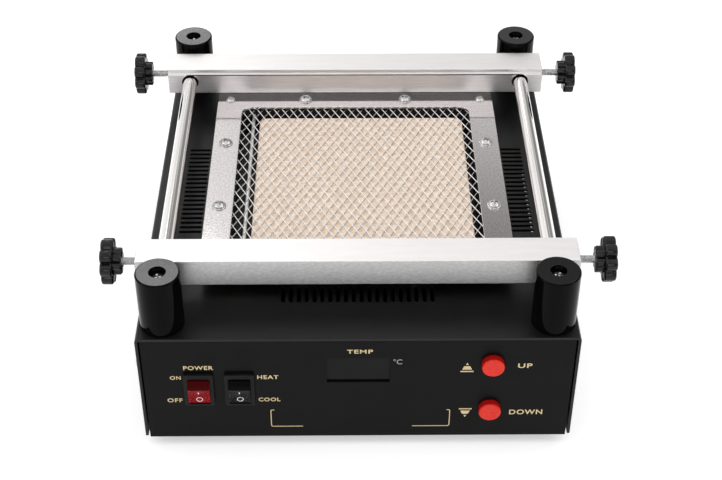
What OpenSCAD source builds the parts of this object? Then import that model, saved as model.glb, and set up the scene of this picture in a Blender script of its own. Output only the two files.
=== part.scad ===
// Infrared preheater for circuit boards.
// A folded sheet-metal case carries a ceramic heater plate under a wire guard, raised on spacers.
// Two bars slide on two rods above it, hold the board by its edges and are clamped by star knobs.

/* [Case] */
// Width of the case
case_w = 221; // [212:1:260]
// Depth of the case
case_d = 247; // [242:1:300]
// Height of the case above its feet
case_h = 70; // [66:1:90]
// Sheet thickness of the cover
cover_t = 1.5; // [1:0.1:2]
// Sheet thickness of the chassis
chassis_t = 1.2; // [0.8:0.1:1.6]
// Outside bend radius of the chassis
chassis_bend = 1.8; // [1.7:0.1:3]
// Gap between the cover's side walls and the chassis
side_gap = 0.7; // [0.2:0.1:1]
// Set-back of the chassis walls from the cover's front and rear edges
wall_setback = 0.5; // [0:0.1:2]
// Height of the cover's side walls above the chassis underside
cover_lift = 2.4; // [0.5:0.1:3]
// Width of the chassis flanges that the side screws hold
flange_w = 16; // [15:1:20]
// Depth of the chassis flanges that the cover rests on
rest_w = 6.5; // [5:0.5:7]
// Distance of the side screws from the cover's front and rear edges
side_screw_inset = 11.5; // [9:0.5:12]
// Distance of the side screws below the cover's top
side_screw_drop = 25.5; // [15:0.5:40]
// Diameter of a rubber foot
foot_d = 16; // [14:1:22]
// Height of a rubber foot
foot_h = 6; // [5:0.5:12]
// Inset of the feet from the case's sides
foot_inset = 26; // [20:1:40]

/* [Vents] */
// Slots in one group
vent_count = 20; // [8:1:22]
// Distance from slot to slot
vent_pitch = 4; // [3.5:0.1:5]
// Width of a slot
vent_w = 2; // [1.5:0.1:2.5]
// Length of a slot
vent_l = 12; // [8:0.5:13]
// Gap from the steel frame to the slots beside it
side_vent_gap = 2.3; // [1.5:0.1:2.8]
// Gap from the steel frame to the slots before it
front_vent_gap = 2.6; // [2:0.1:6]
// Distance of the rear slots' middle from the case's rear edge
rear_vent_inset = 15; // [14:0.5:18]
// Place of the side groups along the depth
side_vent_y = 0; // [-10:0.5:10]

/* [Heater] */
// Place of the heater's centre along the depth
heater_y = 0; // [-2:0.5:4]
// Width of the steel frame's border around the opening
frame_border = 14.7; // [14:0.1:16]
// Thickness of the steel frame
frame_t = 1.5; // [1:0.1:2.5]
// Width of the opening over the heater
open_w = 133.4; // [120:0.1:140]
// Corner radius of the opening
open_r = 6; // [3:0.5:10]
// Distance between the two frame screws of one side
frame_screw_pitch = 59; // [40:1:80]
// Diameter of a guard wire
wire_d = 0.7; // [0.5:0.05:0.9]
// Width of a guard cell
cell_x = 4.9; // [4:0.1:8]
// Length of a guard cell
cell_y = 9.8; // [6:0.1:16]
// How far the guard lies on the tray's flange
guard_rest = 3; // [2:0.5:4]
// Gap between the opening's edge and the ceramic plate, before its shift
ceramic_gap = 7.4; // [6.5:0.1:12]
// Thickness of the ceramic plate
ceramic_t = 14; // [10:1:16]
// Corner radius of the ceramic plate
ceramic_r = 5; // [3:0.5:8]
// Gap between the ceramic plate and the guard
ceramic_drop = 0.6; // [0.4:0.1:3]
// Shift of the ceramic plate to the right
ceramic_x = 3.2; // [2:0.1:4]
// Shift of the ceramic plate to the rear
ceramic_y = 1.5; // [-3:0.1:3]
// Thickness of the insulation board
insulation_t = 12; // [8:1:16]
// Sheet thickness of the heater tray
tray_t = 1; // [0.8:0.1:1.5]
// Set-back of the tray's flange from the frame's edge
tray_setback = 1; // [0.5:0.1:2]
// Gap between the tray and the edge of the cover's opening
tray_play = 1; // [0.6:0.1:1.5]
// Diameter of the spacers under the steel frame
spacer_d = 7; // [6.5:0.1:7.4]
// Gap between the frame screws' heads and the bars that pass over them
bar_clear = 0.4; // [0.3:0.1:1]
// Runs of the heating strip
strip_runs = 9; // [5:2:11]
// Width of the heating strip
strip_w = 3; // [2:0.5:4]
// Thickness of the heating strip
strip_t = 1; // [0.5:0.1:2]
// Diameter of the temperature probe
probe_d = 2; // [1.5:0.1:3]
// Gap from the ceramic plate to the probe
probe_gap = 2.8; // [1:0.1:3]

/* [Posts and rods] */
// Diameter of a post
post_d = 22.2; // [20:0.1:23]
// Height of a post
post_h = 33; // [31:0.5:45]
// Inset of the posts from the case's sides
post_inset_x = 13; // [11.5:0.5:14]
// Inset of the posts from the case's front and rear
post_inset_y = 12.5; // [12:0.5:16]
// Diameter of a rod
rod_d = 8; // [6:0.5:9]
// Height of the rod axes above the cover
rod_up = 21.3; // [19:0.1:22]
// Depth of the screw head below a post's top
head_sink = 2.4; // [2:0.1:3.5]

/* [Bars] */
// Depth of a bar
bar_d = 20; // [14:0.5:22]
// Height of a bar
bar_h = 15; // [12:0.5:20]
// Distance from a rod's axis to the bar's end
bar_end = 13; // [10:0.5:16]
// Gap between the front bar and the front posts
front_gap = 1.6; // [0.3:0.1:5]
// Gap between the rear bar and the rear posts
rear_gap = 2.5; // [1:0.1:8]
// Width of the ledge that carries the board
ledge_w = 1.8; // [1:0.1:4]
// Depth of the ledge below the bar's top
ledge_h = 2.6; // [1.5:0.1:3]
// Radial clearance of a bar on its rods
slide_fit = 0.08; // [0.04:0.01:0.1]

/* [Clamps] */
// Diameter of a clamp screw
clamp_d = 4.1; // [3:0.1:5]
// Length of a front left clamp screw that shows between bar and knob
clamp_reach = 7.7; // [5:0.1:14]
// How far the front right clamp screw is backed out from there
front_right_out = 1.1; // [0:0.1:3]
// How far the rear clamp screws are backed out from there
rear_out = 2.2; // [0:0.1:3]
// Diameter of a star knob
knob_d = 24; // [18:0.5:26]
// Thickness of a star knob's disc
knob_t = 6; // [5:0.5:9]
// Radius of a knob lobe
knob_lobe = 3.4; // [2.5:0.1:3.6]
// Lobes of a star knob
knob_lobes = 8; // [5:1:9]
// Diameter of a knob's hub
hub_d = 14; // [11:0.5:16]
// Thickness of a knob's hub
hub_t = 3.8; // [2:0.1:6]

/* [Switches] */
// Distance of the power switch from the case's left side
power_inset = 29.9; // [22:0.1:34]
// Distance from the power switch to the mode switch
switch_pitch = 20.6; // [20:0.1:28]
// Height of the switches above the chassis underside
switch_up = 36.2; // [25:0.1:45]
// Width of a switch bezel
bezel_w = 15; // [14:0.1:16]
// Height of a switch bezel
bezel_h = 21; // [20.5:0.1:23]
// Stand-out of a switch bezel
bezel_out = 2; // [1:0.1:2.5]
// Width of a rocker
rocker_w = 10.4; // [8:0.1:10.6]
// Height of a rocker
rocker_h = 16.4; // [14:0.1:16.6]
// Stand-out of a rocker's ends from its pivot
rocker_tip = 5.2; // [4:0.1:5.4]
// Hollow of a rocker's face
rocker_dip = 0.8; // [0.3:0.1:1.5]
// Tilt of a rocker from its middle place
rocker_tilt = 13; // [8:1:14]

/* [Buttons and display] */
// Distance of the two buttons from the case's right side
button_inset = 43; // [30:0.5:55]
// Height of the upper button above the chassis underside
up_button_up = 52.1; // [45:0.1:54]
// Height of the lower button above the chassis underside
down_button_up = 20.9; // [15:0.1:30]
// Diameter of a button
button_d = 11.6; // [9:0.1:13]
// Stand-out of a button
button_out = 3.8; // [2:0.1:5]
// Travel of a button
button_travel = 1.5; // [0.5:0.1:2]
// Width of the display window
window_w = 31.6; // [24:0.1:34]
// Height of the display window
window_h = 16.5; // [12:0.1:18]
// Height of the window's middle above the chassis underside
window_up = 48.1; // [40:0.1:50]

/* [Rear] */
// Distance of the power inlet from the case's left side
inlet_inset = 40.5; // [32:0.5:70]
// Height of the power inlet above the chassis underside
inlet_up = 32; // [20:1:44]
// Distance of the fan from the case's right side
fan_inset = 65.5; // [50:0.5:90]
// Height of the case that the fan leaves free
fan_room = 10; // [6:0.5:16]
// Depth of the fan
fan_t = 25; // [15:1:25]
// Blades of the fan
fan_blades = 7; // [5:1:9]
// Stand-out of the fan's wire guard
guard_out = 6; // [5:0.1:8]
// Wire diameter of the fan's guard
guard_wire = 2; // [1.5:0.1:2.5]

/* [Hidden] */
$fn = 48;

// Extra length of a cut past the faces it goes through
cut = 1;
// Clearance of parts that are only set in place
fit = 0.2;
// Clearance of pins, screws and wires that lie close
close_fit = 0.05;

// Screw sizes: shank, head diameter and head height
m3 = [3, 5.6, 2.2];
m4 = [4, 7.4, 2.6];
rivet = [3, 5.4, 1.6];
frame_screw = [4, 7, 2];
fan_screw = [4, 6.6, 2.6];
side_screw_l = 10;

// Main heights and faces
floor_z = foot_h + chassis_t;
cover_z = foot_h + case_h;
flange_z = cover_z - cover_t;
rod_z = cover_z + rod_up;
front_y = -case_d / 2 + wall_setback;
rear_y = -front_y;
front_in = front_y + chassis_t;
rear_in = rear_y - chassis_t;
chassis_w = case_w - 2 * (cover_t + side_gap);
cover_bend = cover_t + side_gap;
foot_x = case_w / 2 - foot_inset;
foot_y = case_d / 2 - foot_inset;
side_screw_y = case_d / 2 - side_screw_inset;
side_screw_z = cover_z - side_screw_drop;

// Heater stack
frame_w = open_w + 2 * frame_border;
ceramic_w = open_w - 2 * ceramic_gap;
screw_ring = (frame_w + open_w) / 4;
guard_w = open_w + 2 * guard_rest;
washer_t = 0.6;
plate_z = rod_z - bar_h / 2 - bar_clear - frame_screw[2] - washer_t - frame_t;
heater_z = plate_z - 2 * wire_d - 2 * close_fit;
ceramic_z = heater_z - ceramic_drop - ceramic_t;
tray_z = ceramic_z - insulation_t - tray_t;
tray_w = open_w + 2 * tray_t;
cover_open = tray_w + 2 * tray_play;
strip_pitch = (ceramic_w - 6 * strip_w) / strip_runs;
strip_l = ceramic_w - 4 * strip_pitch;
probe_x = ceramic_x - ceramic_w / 2 - probe_gap - probe_d / 2;
collar_d = 1.6 * probe_d;
probe_z = heater_z - tray_t - collar_d / 2 - fit;

// Posts, rods and bars
post_x = case_w / 2 - post_inset_x;
post_y = case_d / 2 - post_inset_y;
rod_wall = 1.6;
rod_stop = m4[0] / 2 + rod_wall;
rod_half = post_y - rod_stop - fit;
bar_l = 2 * (post_x + bar_end);
front_bar_y = -post_y + post_d / 2 + front_gap + bar_d / 2;
rear_bar_y = post_y - post_d / 2 - rear_gap - bar_d / 2;
clamp_gap = 0.3;
clamp_tip = post_x + rod_d / 2 + clamp_gap;
bore_d = rod_d + 2 * slide_fit;
bore_edge = 0.7;
knob_cap = 1.5;
knob_dome = 0.8;

// Front controls
power_x = power_inset - case_w / 2;
mode_x = power_x + switch_pitch;
button_x = case_w / 2 - button_inset;
switch_z = foot_h + switch_up;
up_z = foot_h + up_button_up;
down_z = foot_h + down_button_up;
window_z = foot_h + window_up;
switch_body = [bezel_w - 2, bezel_h - 2];
switch_body_l = 17;
switch_floor = 3;
pivot_in = 1;
pivot_d = 2.4;
pivot_pin = 0.8;
rocker_half = rocker_h / 2;
face_tip = (pivot_in + rocker_half * sin(rocker_tilt)) / cos(rocker_tilt);
bezel_open = 2 * (rocker_half * cos(rocker_tilt) + rocker_tip * sin(rocker_tilt) + fit);
body_open = 2 * (rocker_half * cos(rocker_tilt) + face_tip * sin(rocker_tilt) + fit);
tab = [0.8, 8, 4.8];
tab_pitch = 9;
lens_t = 1.5;
lens_rim = 2.5;
module_t = 8;
key_w = 12;
key_t = 4;
board_t = 1.6;
stud_inset = 5;
board_y = front_in + lens_t + module_t;
board_left = -window_w / 2 - lens_rim - 2 * stud_inset - 1;
board_right = button_x + key_w / 2 + 2 * stud_inset;
board_low = floor_z + 4;
board_high = flange_z - 8;
button_collar = 1.2;
stem_d = 4;

// Power board behind the front board
power_board = [110, 34];
power_board_x = (board_left + board_right) / 2;
power_board_gap = 7;
power_board_y = board_y + power_board_gap + power_board.y / 2;
transformer_x = power_board_x - power_board.x / 4;
heat_sink_x = power_board_x + power_board.x / 4;
core = [32, 14, 26];
coil = [20, 24, 16];
sink_base = [36, 4];
sink_fin = [2, 14];
sink_h = 24;
stand_h = 6;
power_z = floor_z + stand_h + board_t;

// Rear wall
fan_w = case_h - fan_room;
fan_x = case_w / 2 - fan_inset;
inlet_x = inlet_inset - case_w / 2;
fan_z = floor_z + fan_w / 2 + 1;
inlet_z = foot_h + inlet_up;
fan_bore = fan_w - 3;
fan_hub = 26;
fan_shaft = 3;
fan_web = 3;
fan_screw_pitch = fan_w - 10;
eye_t = 0.8 * guard_wire;
inlet_flange = [48, 23, 2.5];
inlet_mouth = [24.4, 16.4];
inlet_wall = 1.8;
inlet_depth = 16.5;
inlet_back = 5;
inlet_pin = [2, 11.5, 4];
inlet_screw_pitch = 40;

// Finishes
black_paint = "#242427";
black_plastic = "#1a1a1c";
steel = "#c9c9cc";
zinc = "#d6d7d9";
aluminium = "#e4e4e4";
red = "#d8261c";
board_green = "#2d5a36";

// Places of the repeated pieces
SIDES = [["left", -1], ["right", 1]];
ENDS = [["front", -1], ["rear", 1]];
CORNERS = [for (end = ENDS, side = SIDES) [str(end[0], "_", side[0]), side[1], end[1]]];
function bar_y(end) = end < 0 ? front_bar_y : rear_bar_y;
function backed_out(side, end) = end > 0 ? rear_out : side > 0 ? front_right_out : 0;
function turned(p, a) = [p.x * cos(a) - p.y * sin(a), p.x * sin(a) + p.y * cos(a)];
FRAME_SCREWS = [
  for (a = [0 : 90 : 270], s = [-1, 1]) turned([screw_ring, s * frame_screw_pitch / 2], a)
];
function stud_places(x0, x1, y0, y1, inset) =
  [for (x = [x0 + inset, x1 - inset], y = [y0 + inset, y1 - inset]) [x, y]];

FRONT_STUDS = stud_places(board_left, board_right, board_low, board_high, stud_inset);
POWER_STUDS = stud_places(
  power_board_x - power_board.x / 2, power_board_x + power_board.x / 2,
  power_board_y - power_board.y / 2, power_board_y + power_board.y / 2, stud_inset
);
FRAME_RIVETS = [for (x = [-1, 1], y = [-1, 1]) [x * screw_ring, y * screw_ring]];

// Shared shapes

// Rectangle with rounded corners, centred
module rounded_rect(w, h, r) {
  square([w - 2 * r, h], center = true);
  square([w, h - 2 * r], center = true);
  for (x = [-1, 1], y = [-1, 1])
    translate([x * (w / 2 - r), y * (h / 2 - r)]) circle(r);
}

// Rectangle standing on the x axis with its two lower corners rounded
module rounded_base(w, h, r) {
  translate([-w / 2, r]) square([w, h - r]);
  translate([-w / 2 + r, 0]) square([w - 2 * r, h]);
  for (x = [-1, 1]) translate([x * (w / 2 - r), r]) circle(r);
}

// Section of a folded sheet channel, open at the top
module channel(w, h, t, r) {
  difference() {
    rounded_base(w, h, r);
    translate([0, t]) rounded_base(w - 2 * t, h, r - t);
  }
}

// Slot with round ends along the y axis, centred
module slot(w, l) {
  square([w, l - w], center = true);
  for (s = [-1, 1]) translate([0, s * (l - w) / 2]) circle(d = w);
}

// Solid from y to y + depth whose outline is drawn in X and Z
module wall_shape(y, depth) {
  translate([0, y + depth, 0]) rotate([90, 0, 0]) linear_extrude(depth) children();
}

// Solid from x to x + length whose outline is drawn in Y and Z
module side_shape(x, length) {
  translate([x, 0, 0]) rotate([90, 0, 90]) linear_extrude(length) children();
}

// Turns a piece drawn along +Z so that it lies along +Y
module along_y() {
  rotate([-90, 0, 0]) children();
}

// Screw that points down, with the underside of its domed head at z = 0
module pan_screw(size, length) {
  translate([0, 0, -length]) cylinder(d = size[0], h = length + size[2] / 2);
  intersection() {
    cylinder(d = size[1], h = size[2]);
    translate([0, 0, size[2] - size[1] * 0.7]) sphere(size[1] * 0.7);
  }
}

// Hexagon nut that hangs below z = 0
module hex_nut(size) {
  nut_h = 0.8 * size[0];
  translate([0, 0, -nut_h])
    difference() {
      cylinder(d = 2 * size[0], h = nut_h, $fn = 6);
      translate([0, 0, -cut]) cylinder(d = size[0] + 2 * close_fit, h = nut_h + 2 * cut);
    }
}

// Outline with round lobes
module lobed(d, lobe, count) {
  circle(d = d - 1.5 * lobe);
  for (i = [0 : count - 1])
    rotate(i * 360 / count) translate([d / 2 - lobe, 0]) circle(lobe);
}

// Case

module end_flanges() {
  translate([-chassis_w / 2, front_y, flange_z - chassis_t]) cube([chassis_w, rest_w, chassis_t]);
  for (s = [-1, 1])
    translate([s * (chassis_w - chassis_t) / 2 - chassis_t / 2, front_y, foot_h + chassis_bend])
      cube([chassis_t, flange_w, flange_z - foot_h - chassis_bend]);
}

module front_cuts() {
  for (x = [power_x, mode_x])
    translate([x, switch_z]) square(switch_body + 2 * fit * [1, 1], center = true);
  for (z = [up_z, down_z])
    translate([button_x, z]) circle(d = button_d + 2 * fit);
  translate([0, window_z]) square([window_w, window_h], center = true);
}

module rear_cuts() {
  translate([inlet_x, inlet_z])
    square(inlet_mouth + 2 * (inlet_wall + fit) * [1, 1], center = true);
  for (s = [-1, 1])
    translate([inlet_x + s * inlet_screw_pitch / 2, inlet_z]) circle(d = m3[0] + 2 * close_fit);
  translate([fan_x, fan_z]) {
    circle(d = fan_bore);
    for (x = [-1, 1], z = [-1, 1])
      translate([x, z] * fan_screw_pitch / 2) circle(d = m4[0] + 2 * fit);
  }
}

module chassis() {
  color(black_paint)
    difference() {
      union() {
        translate([0, 0, foot_h])
          side_shape(-chassis_w / 2, chassis_w)
            channel(rear_y - front_y, flange_z - foot_h, chassis_t, chassis_bend);
        for (end = [0, 1]) mirror([0, end, 0]) end_flanges();
      }
      wall_shape(front_y - cut, chassis_t + 2 * cut) front_cuts();
      wall_shape(rear_in - cut, chassis_t + 2 * cut) rear_cuts();
      for (x = [-1, 1], y = [-1, 1]) {
        translate([x * foot_x, y * foot_y, foot_h - cut])
          cylinder(d = m3[0] + 2 * close_fit, h = chassis_t + 2 * cut);
        translate([x * (chassis_w / 2 - chassis_t - cut), y * side_screw_y, side_screw_z])
          rotate([0, x * 90, 0]) cylinder(d = m4[0] + 2 * close_fit, h = chassis_t + 2 * cut);
      }
    }
}

module vent_group() {
  for (i = [0 : vent_count - 1])
    translate([(i - (vent_count - 1) / 2) * vent_pitch, 0]) slot(vent_w, vent_l);
}

module cover_cuts() {
  side_place = frame_w / 2 + side_vent_gap + vent_l / 2;
  for (s = [-1, 1]) translate([s * side_place, side_vent_y]) rotate(90) vent_group();
  translate([0, heater_y - frame_w / 2 - front_vent_gap - vent_l / 2]) vent_group();
  translate([0, case_d / 2 - rear_vent_inset]) vent_group();
  translate([0, heater_y]) {
    rounded_rect(cover_open, cover_open, open_r + tray_t + tray_play);
    frame_screw_holes();
  }
  for (c = CORNERS)
    translate([c[1] * post_x, c[2] * post_y]) circle(d = m4[0] + 2 * fit);
}

module top_cover() {
  color(black_paint)
    difference() {
      translate([0, 0, cover_z])
        wall_shape(-case_d / 2, case_d)
          mirror([0, 1]) channel(case_w, case_h - cover_lift, cover_t, cover_bend);
      translate([0, 0, flange_z - cut]) linear_extrude(cover_t + 2 * cut) cover_cuts();
      for (x = [-1, 1], y = [-1, 1])
        translate([x * (case_w / 2 - cover_t - side_gap / 2), y * side_screw_y, side_screw_z])
          rotate([0, x * 90, 0]) cylinder(d = m4[0] + 2 * fit, h = cover_t + cut);
    }
}

module side_screws() {
  color(zinc)
    for (x = [-1, 1], y = [-1, 1])
      translate([x * case_w / 2, y * side_screw_y, side_screw_z])
        rotate([0, x * 90, 0]) pan_screw(m4, side_screw_l);
}

module rubber_feet() {
  color(black_plastic)
    for (x = [-1, 1], y = [-1, 1])
      translate([x * foot_x, y * foot_y, 0])
        difference() {
          cylinder(d1 = foot_d - 2, d2 = foot_d, h = foot_h);
          translate([0, 0, -cut]) cylinder(d = m3[1] + 2, h = foot_h / 2 + cut);
          cylinder(d = m3[0] + 2 * fit, h = foot_h + cut);
        }
}

module foot_screws() {
  color(zinc)
    for (x = [-1, 1], y = [-1, 1])
      translate([x * foot_x, y * foot_y, foot_h / 2])
        rotate([180, 0, 0]) pan_screw(m3, foot_h / 2 + chassis_t + 2);
}

// Heater

module frame_screw_holes() {
  for (p = FRAME_SCREWS) translate(p) circle(d = frame_screw[0] + 2 * fit);
}

module frame_holes() {
  frame_screw_holes();
  for (p = FRAME_RIVETS) translate(p) circle(d = m3[0] + 2 * close_fit);
}

module frame_plate() {
  color(steel)
    translate([0, heater_y, plate_z])
      linear_extrude(frame_t)
        difference() {
          rounded_rect(frame_w, frame_w, frame_t);
          rounded_rect(open_w, open_w, open_r);
          frame_holes();
        }
}

module frame_screws() {
  color(zinc)
    for (p = FRAME_SCREWS)
      translate([p.x, heater_y + p.y, plate_z + frame_t + washer_t])
        pan_screw(frame_screw, washer_t + frame_t + plate_z - flange_z + frame_screw[0]);
}

module frame_washers() {
  color(zinc)
    for (p = FRAME_SCREWS)
      translate([p.x, heater_y + p.y, plate_z + frame_t])
        difference() {
          cylinder(d = frame_screw[1] + 1, h = washer_t);
          translate([0, 0, -cut]) cylinder(d = frame_screw[0] + 2 * fit, h = washer_t + 2 * cut);
        }
}

module frame_nuts() {
  color(zinc)
    for (p = FRAME_SCREWS)
      translate([p.x, heater_y + p.y, flange_z]) hex_nut(frame_screw);
}

// Tubes from the cover to the tray's flange, and from the flange to the frame
module frame_spacers() {
  color(zinc)
    for (p = FRAME_SCREWS, level = [[cover_z, heater_z - tray_t], [heater_z, plate_z]])
      translate([p.x, heater_y + p.y, level[0]])
        linear_extrude(level[1] - level[0])
          difference() {
            circle(d = spacer_d);
            circle(d = frame_screw[0] + 2 * fit);
          }
}

module frame_rivets() {
  color(zinc)
    for (p = FRAME_RIVETS)
      translate([p.x, heater_y + p.y, plate_z + frame_t])
        pan_screw(rivet, frame_t + plate_z - heater_z + tray_t + fit);
}

// Straight wires of one direction, laid side by side across the guard
module wire_layer() {
  half = guard_w / 2;
  slope = cell_x / cell_y;
  lean = atan2(1, slope);
  count = floor(half * (1 + slope) / cell_x);
  for (i = [-count : count]) {
    start = max(-half, (-half - i * cell_x) / slope);
    stop = min(half, (half - i * cell_x) / slope);
    if (stop - start > cell_y)
      translate([i * cell_x + slope * start, start, 0])
        rotate([0, 0, lean]) rotate([0, 90, 0]) cylinder(d = wire_d, h = (stop - start) / sin(lean));
  }
}

module guard_mesh() {
  color(steel)
    translate([0, heater_y, heater_z + wire_d / 2]) {
      wire_layer();
      translate([0, 0, wire_d + close_fit]) mirror([1, 0, 0]) wire_layer();
    }
}

module heater_tray() {
  flange_out = frame_w - 2 * tray_setback;
  color(steel)
    difference() {
      translate([0, heater_y, 0]) {
        translate([0, 0, heater_z - tray_t])
          linear_extrude(tray_t)
            difference() {
              rounded_rect(flange_out, flange_out, open_r);
              frame_holes();
            }
        translate([0, 0, tray_z])
          linear_extrude(heater_z - tray_z) rounded_rect(tray_w, tray_w, open_r + tray_t);
      }
      translate([0, heater_y, tray_z + tray_t])
        linear_extrude(heater_z - tray_z) rounded_rect(open_w, open_w, open_r);
      translate([probe_x, heater_y - tray_w, probe_z])
        along_y() cylinder(d = probe_d + 2 * close_fit, h = 2 * tray_w);
    }
}

module strip_pocket() {
  span = strip_runs * strip_pitch;
  square([span + strip_w, strip_l + strip_pitch + 2 * strip_w], center = true);
}

module insulation_board() {
  board_w = open_w - 2 * fit;
  color("#d9d4c8")
    translate([0, heater_y, tray_z + tray_t])
      difference() {
        linear_extrude(insulation_t) rounded_rect(board_w, board_w, open_r - fit);
        translate([ceramic_x, ceramic_y, insulation_t - strip_t - fit])
          linear_extrude(strip_t + cut) strip_pocket();
      }
}

// Half of a ring above the x axis
module half_ring(r, w) {
  intersection() {
    difference() {
      circle(r + w / 2);
      circle(r - w / 2);
    }
    translate([-r - w, 0]) square([2 * (r + w), r + w]);
  }
}

module heating_strip() {
  color("#6b5a4c")
    translate([ceramic_x, heater_y + ceramic_y, tray_z + tray_t + insulation_t - strip_t - fit])
      linear_extrude(strip_t) {
        for (i = [0 : strip_runs - 1])
          translate([(i - (strip_runs - 1) / 2) * strip_pitch, 0])
            square([strip_w, strip_l], center = true);
        for (i = [0 : strip_runs - 2])
          translate([(i + 1 - strip_runs / 2) * strip_pitch, 0])
            rotate(i % 2 * 180) translate([0, strip_l / 2]) half_ring(strip_pitch / 2, strip_w);
      }
}

module ceramic_plate() {
  color("#ece0cd")
    translate([ceramic_x, heater_y + ceramic_y, ceramic_z])
      linear_extrude(ceramic_t) rounded_rect(ceramic_w, ceramic_w, ceramic_r);
}

module temperature_probe() {
  collar_t = 3;
  tail = 12;
  color(steel)
    translate([probe_x, heater_y - tray_w / 2, probe_z])
      along_y() {
        translate([0, 0, -tail]) cylinder(d = probe_d, h = tail + tray_w);
        translate([0, 0, -collar_t]) cylinder(d = collar_d, h = collar_t);
      }
}

// Posts and rods

module post(x, y) {
  edge = 0.6;
  color(black_plastic)
    translate([x * post_x, y * post_y, cover_z])
      difference() {
        rotate_extrude()
          polygon([
            [0, 0], [post_d / 2, 0], [post_d / 2, post_h - edge],
            [post_d / 2 - edge, post_h], [0, post_h]
          ]);
        translate([0, 0, -cut]) cylinder(d = m4[0] + 2 * fit, h = post_h + 2 * cut);
        translate([0, 0, post_h - head_sink - m4[2]])
          cylinder(d = m4[1] + 4 * fit, h = head_sink + m4[2] + cut);
        translate([0, -y * rod_stop, rod_up])
          rotate([y * 90, 0, 0]) cylinder(d = rod_d + 2 * close_fit, h = post_d);
      }
}

module post_screws() {
  head_z = post_h - head_sink - m4[2];
  color(zinc)
    for (c = CORNERS)
      translate([c[1] * post_x, c[2] * post_y, cover_z + head_z])
        pan_screw(m4, head_z + cover_t + m4[0]);
}

module post_nuts() {
  color(zinc)
    for (c = CORNERS)
      translate([c[1] * post_x, c[2] * post_y, flange_z]) hex_nut(m4);
}

module rod(side) {
  color(steel)
    translate([side * post_x, -rod_half, rod_z]) along_y() cylinder(d = rod_d, h = 2 * rod_half);
}

// Bars and clamps

// inner is +1 where the board lies behind the bar and -1 where it lies before it
module bar(y, inner) {
  color(aluminium)
    difference() {
      side_shape(-bar_l / 2, bar_l)
        translate([y, rod_z])
          difference() {
            square([bar_d, bar_h], center = true);
            translate([inner * bar_d / 2, bar_h / 2])
              square(2 * [ledge_w, ledge_h], center = true);
          }
      for (s = [-1, 1]) {
        translate([s * post_x, y - bar_d, rod_z]) along_y() cylinder(d = bore_d, h = 2 * bar_d);
        for (face = [-1, 1])
          translate([s * post_x, y + face * (bar_d / 2 - bore_edge), rod_z])
            rotate([-90 * face, 0, 0])
              cylinder(d1 = bore_d, d2 = bore_d + 2 * (bore_edge + cut), h = bore_edge + cut);
        translate([s * post_x, y, rod_z])
          rotate([0, s * 90, 0]) cylinder(d = clamp_d + 2 * close_fit, h = bar_end + cut);
      }
    }
}

module clamp_screw(side, end) {
  tip_to_end = bar_l / 2 + clamp_reach + hub_t + knob_t - knob_cap - clamp_tip;
  color(zinc)
    translate([side * (clamp_tip + backed_out(side, end)), bar_y(end), rod_z])
      rotate([0, side * 90, 0]) cylinder(d = clamp_d, h = tip_to_end);
}

module knob(side, end) {
  hub_x = bar_l / 2 + clamp_reach + backed_out(side, end);
  dome_w = knob_d - 3 * knob_lobe;
  dome_r = (dome_w * dome_w / 4 + knob_dome * knob_dome) / (2 * knob_dome);
  color(black_plastic)
    translate([side * hub_x, bar_y(end), rod_z])
      rotate([0, side * 90, 0])
        difference() {
          union() {
            linear_extrude(hub_t) lobed(hub_d, hub_d / 7, knob_lobes);
            translate([0, 0, hub_t]) linear_extrude(knob_t) lobed(knob_d, knob_lobe, knob_lobes);
            intersection() {
              translate([0, 0, hub_t + knob_t + knob_dome - dome_r]) sphere(dome_r);
              cylinder(d = dome_w, h = hub_t + knob_t + knob_dome);
            }
          }
          translate([0, 0, -cut])
            cylinder(d = clamp_d + 2 * close_fit, h = hub_t + knob_t - knob_cap + fit + cut);
        }
}

// Front controls

module rocker_switch(x) {
  color(black_plastic)
    difference() {
      union() {
        wall_shape(front_y - bezel_out, bezel_out)
          translate([x, switch_z]) rounded_rect(bezel_w, bezel_h, 1);
        wall_shape(front_y, switch_body_l)
          translate([x, switch_z]) square(switch_body, center = true);
        for (z = [-1, 1])
          translate([x - tab[0] / 2, front_y + switch_body_l, switch_z + z * tab_pitch / 2 - tab[2] / 2])
            cube(tab);
      }
      wall_shape(front_y - bezel_out - cut, bezel_out + cut)
        translate([x, switch_z]) square([rocker_w + 2 * fit, bezel_open], center = true);
      wall_shape(front_y - cut, switch_body_l - switch_floor + cut)
        translate([x, switch_z]) square([rocker_w + 2 * fit, body_open], center = true);
      translate([x - rocker_w / 2 - pivot_pin - fit, front_y + pivot_in, switch_z])
        rotate([0, 90, 0])
          cylinder(d = pivot_d + 2 * close_fit, h = rocker_w + 2 * (pivot_pin + fit));
    }
}

module rocker(x, tint) {
  hollow_r = (rocker_half * rocker_half + rocker_dip * rocker_dip) / (2 * rocker_dip);
  keel = 4;
  color(tint)
    translate([x, front_y + pivot_in, switch_z])
      rotate([rocker_tilt, 0, 0]) {
        side_shape(-rocker_w / 2, rocker_w)
          difference() {
            polygon([
              [-rocker_tip, rocker_half], [-rocker_tip, -rocker_half], [0, -rocker_half],
              [keel, -keel], [keel, keel], [0, rocker_half]
            ]);
            translate([-rocker_tip + rocker_dip - hollow_r, 0]) circle(hollow_r, $fn = 180);
          }
        translate([-rocker_w / 2 - pivot_pin, 0, 0])
          rotate([0, 90, 0]) cylinder(d = pivot_d, h = rocker_w + 2 * pivot_pin);
      }
}

module push_button(z) {
  edge = 1;
  r = button_d / 2;
  collar = chassis_t + close_fit;
  stem_end = board_y - key_t - front_y;
  color(red)
    translate([button_x, front_y, z])
      along_y()
        rotate_extrude()
          polygon([
            [0, -button_out], [r - edge, -button_out], [r, edge - button_out],
            [r, collar], [r + button_collar, collar],
            [r + button_collar, collar + button_collar], [stem_d / 2, collar + button_collar],
            [stem_d / 2, stem_end], [0, stem_end]
          ]);
}

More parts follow.
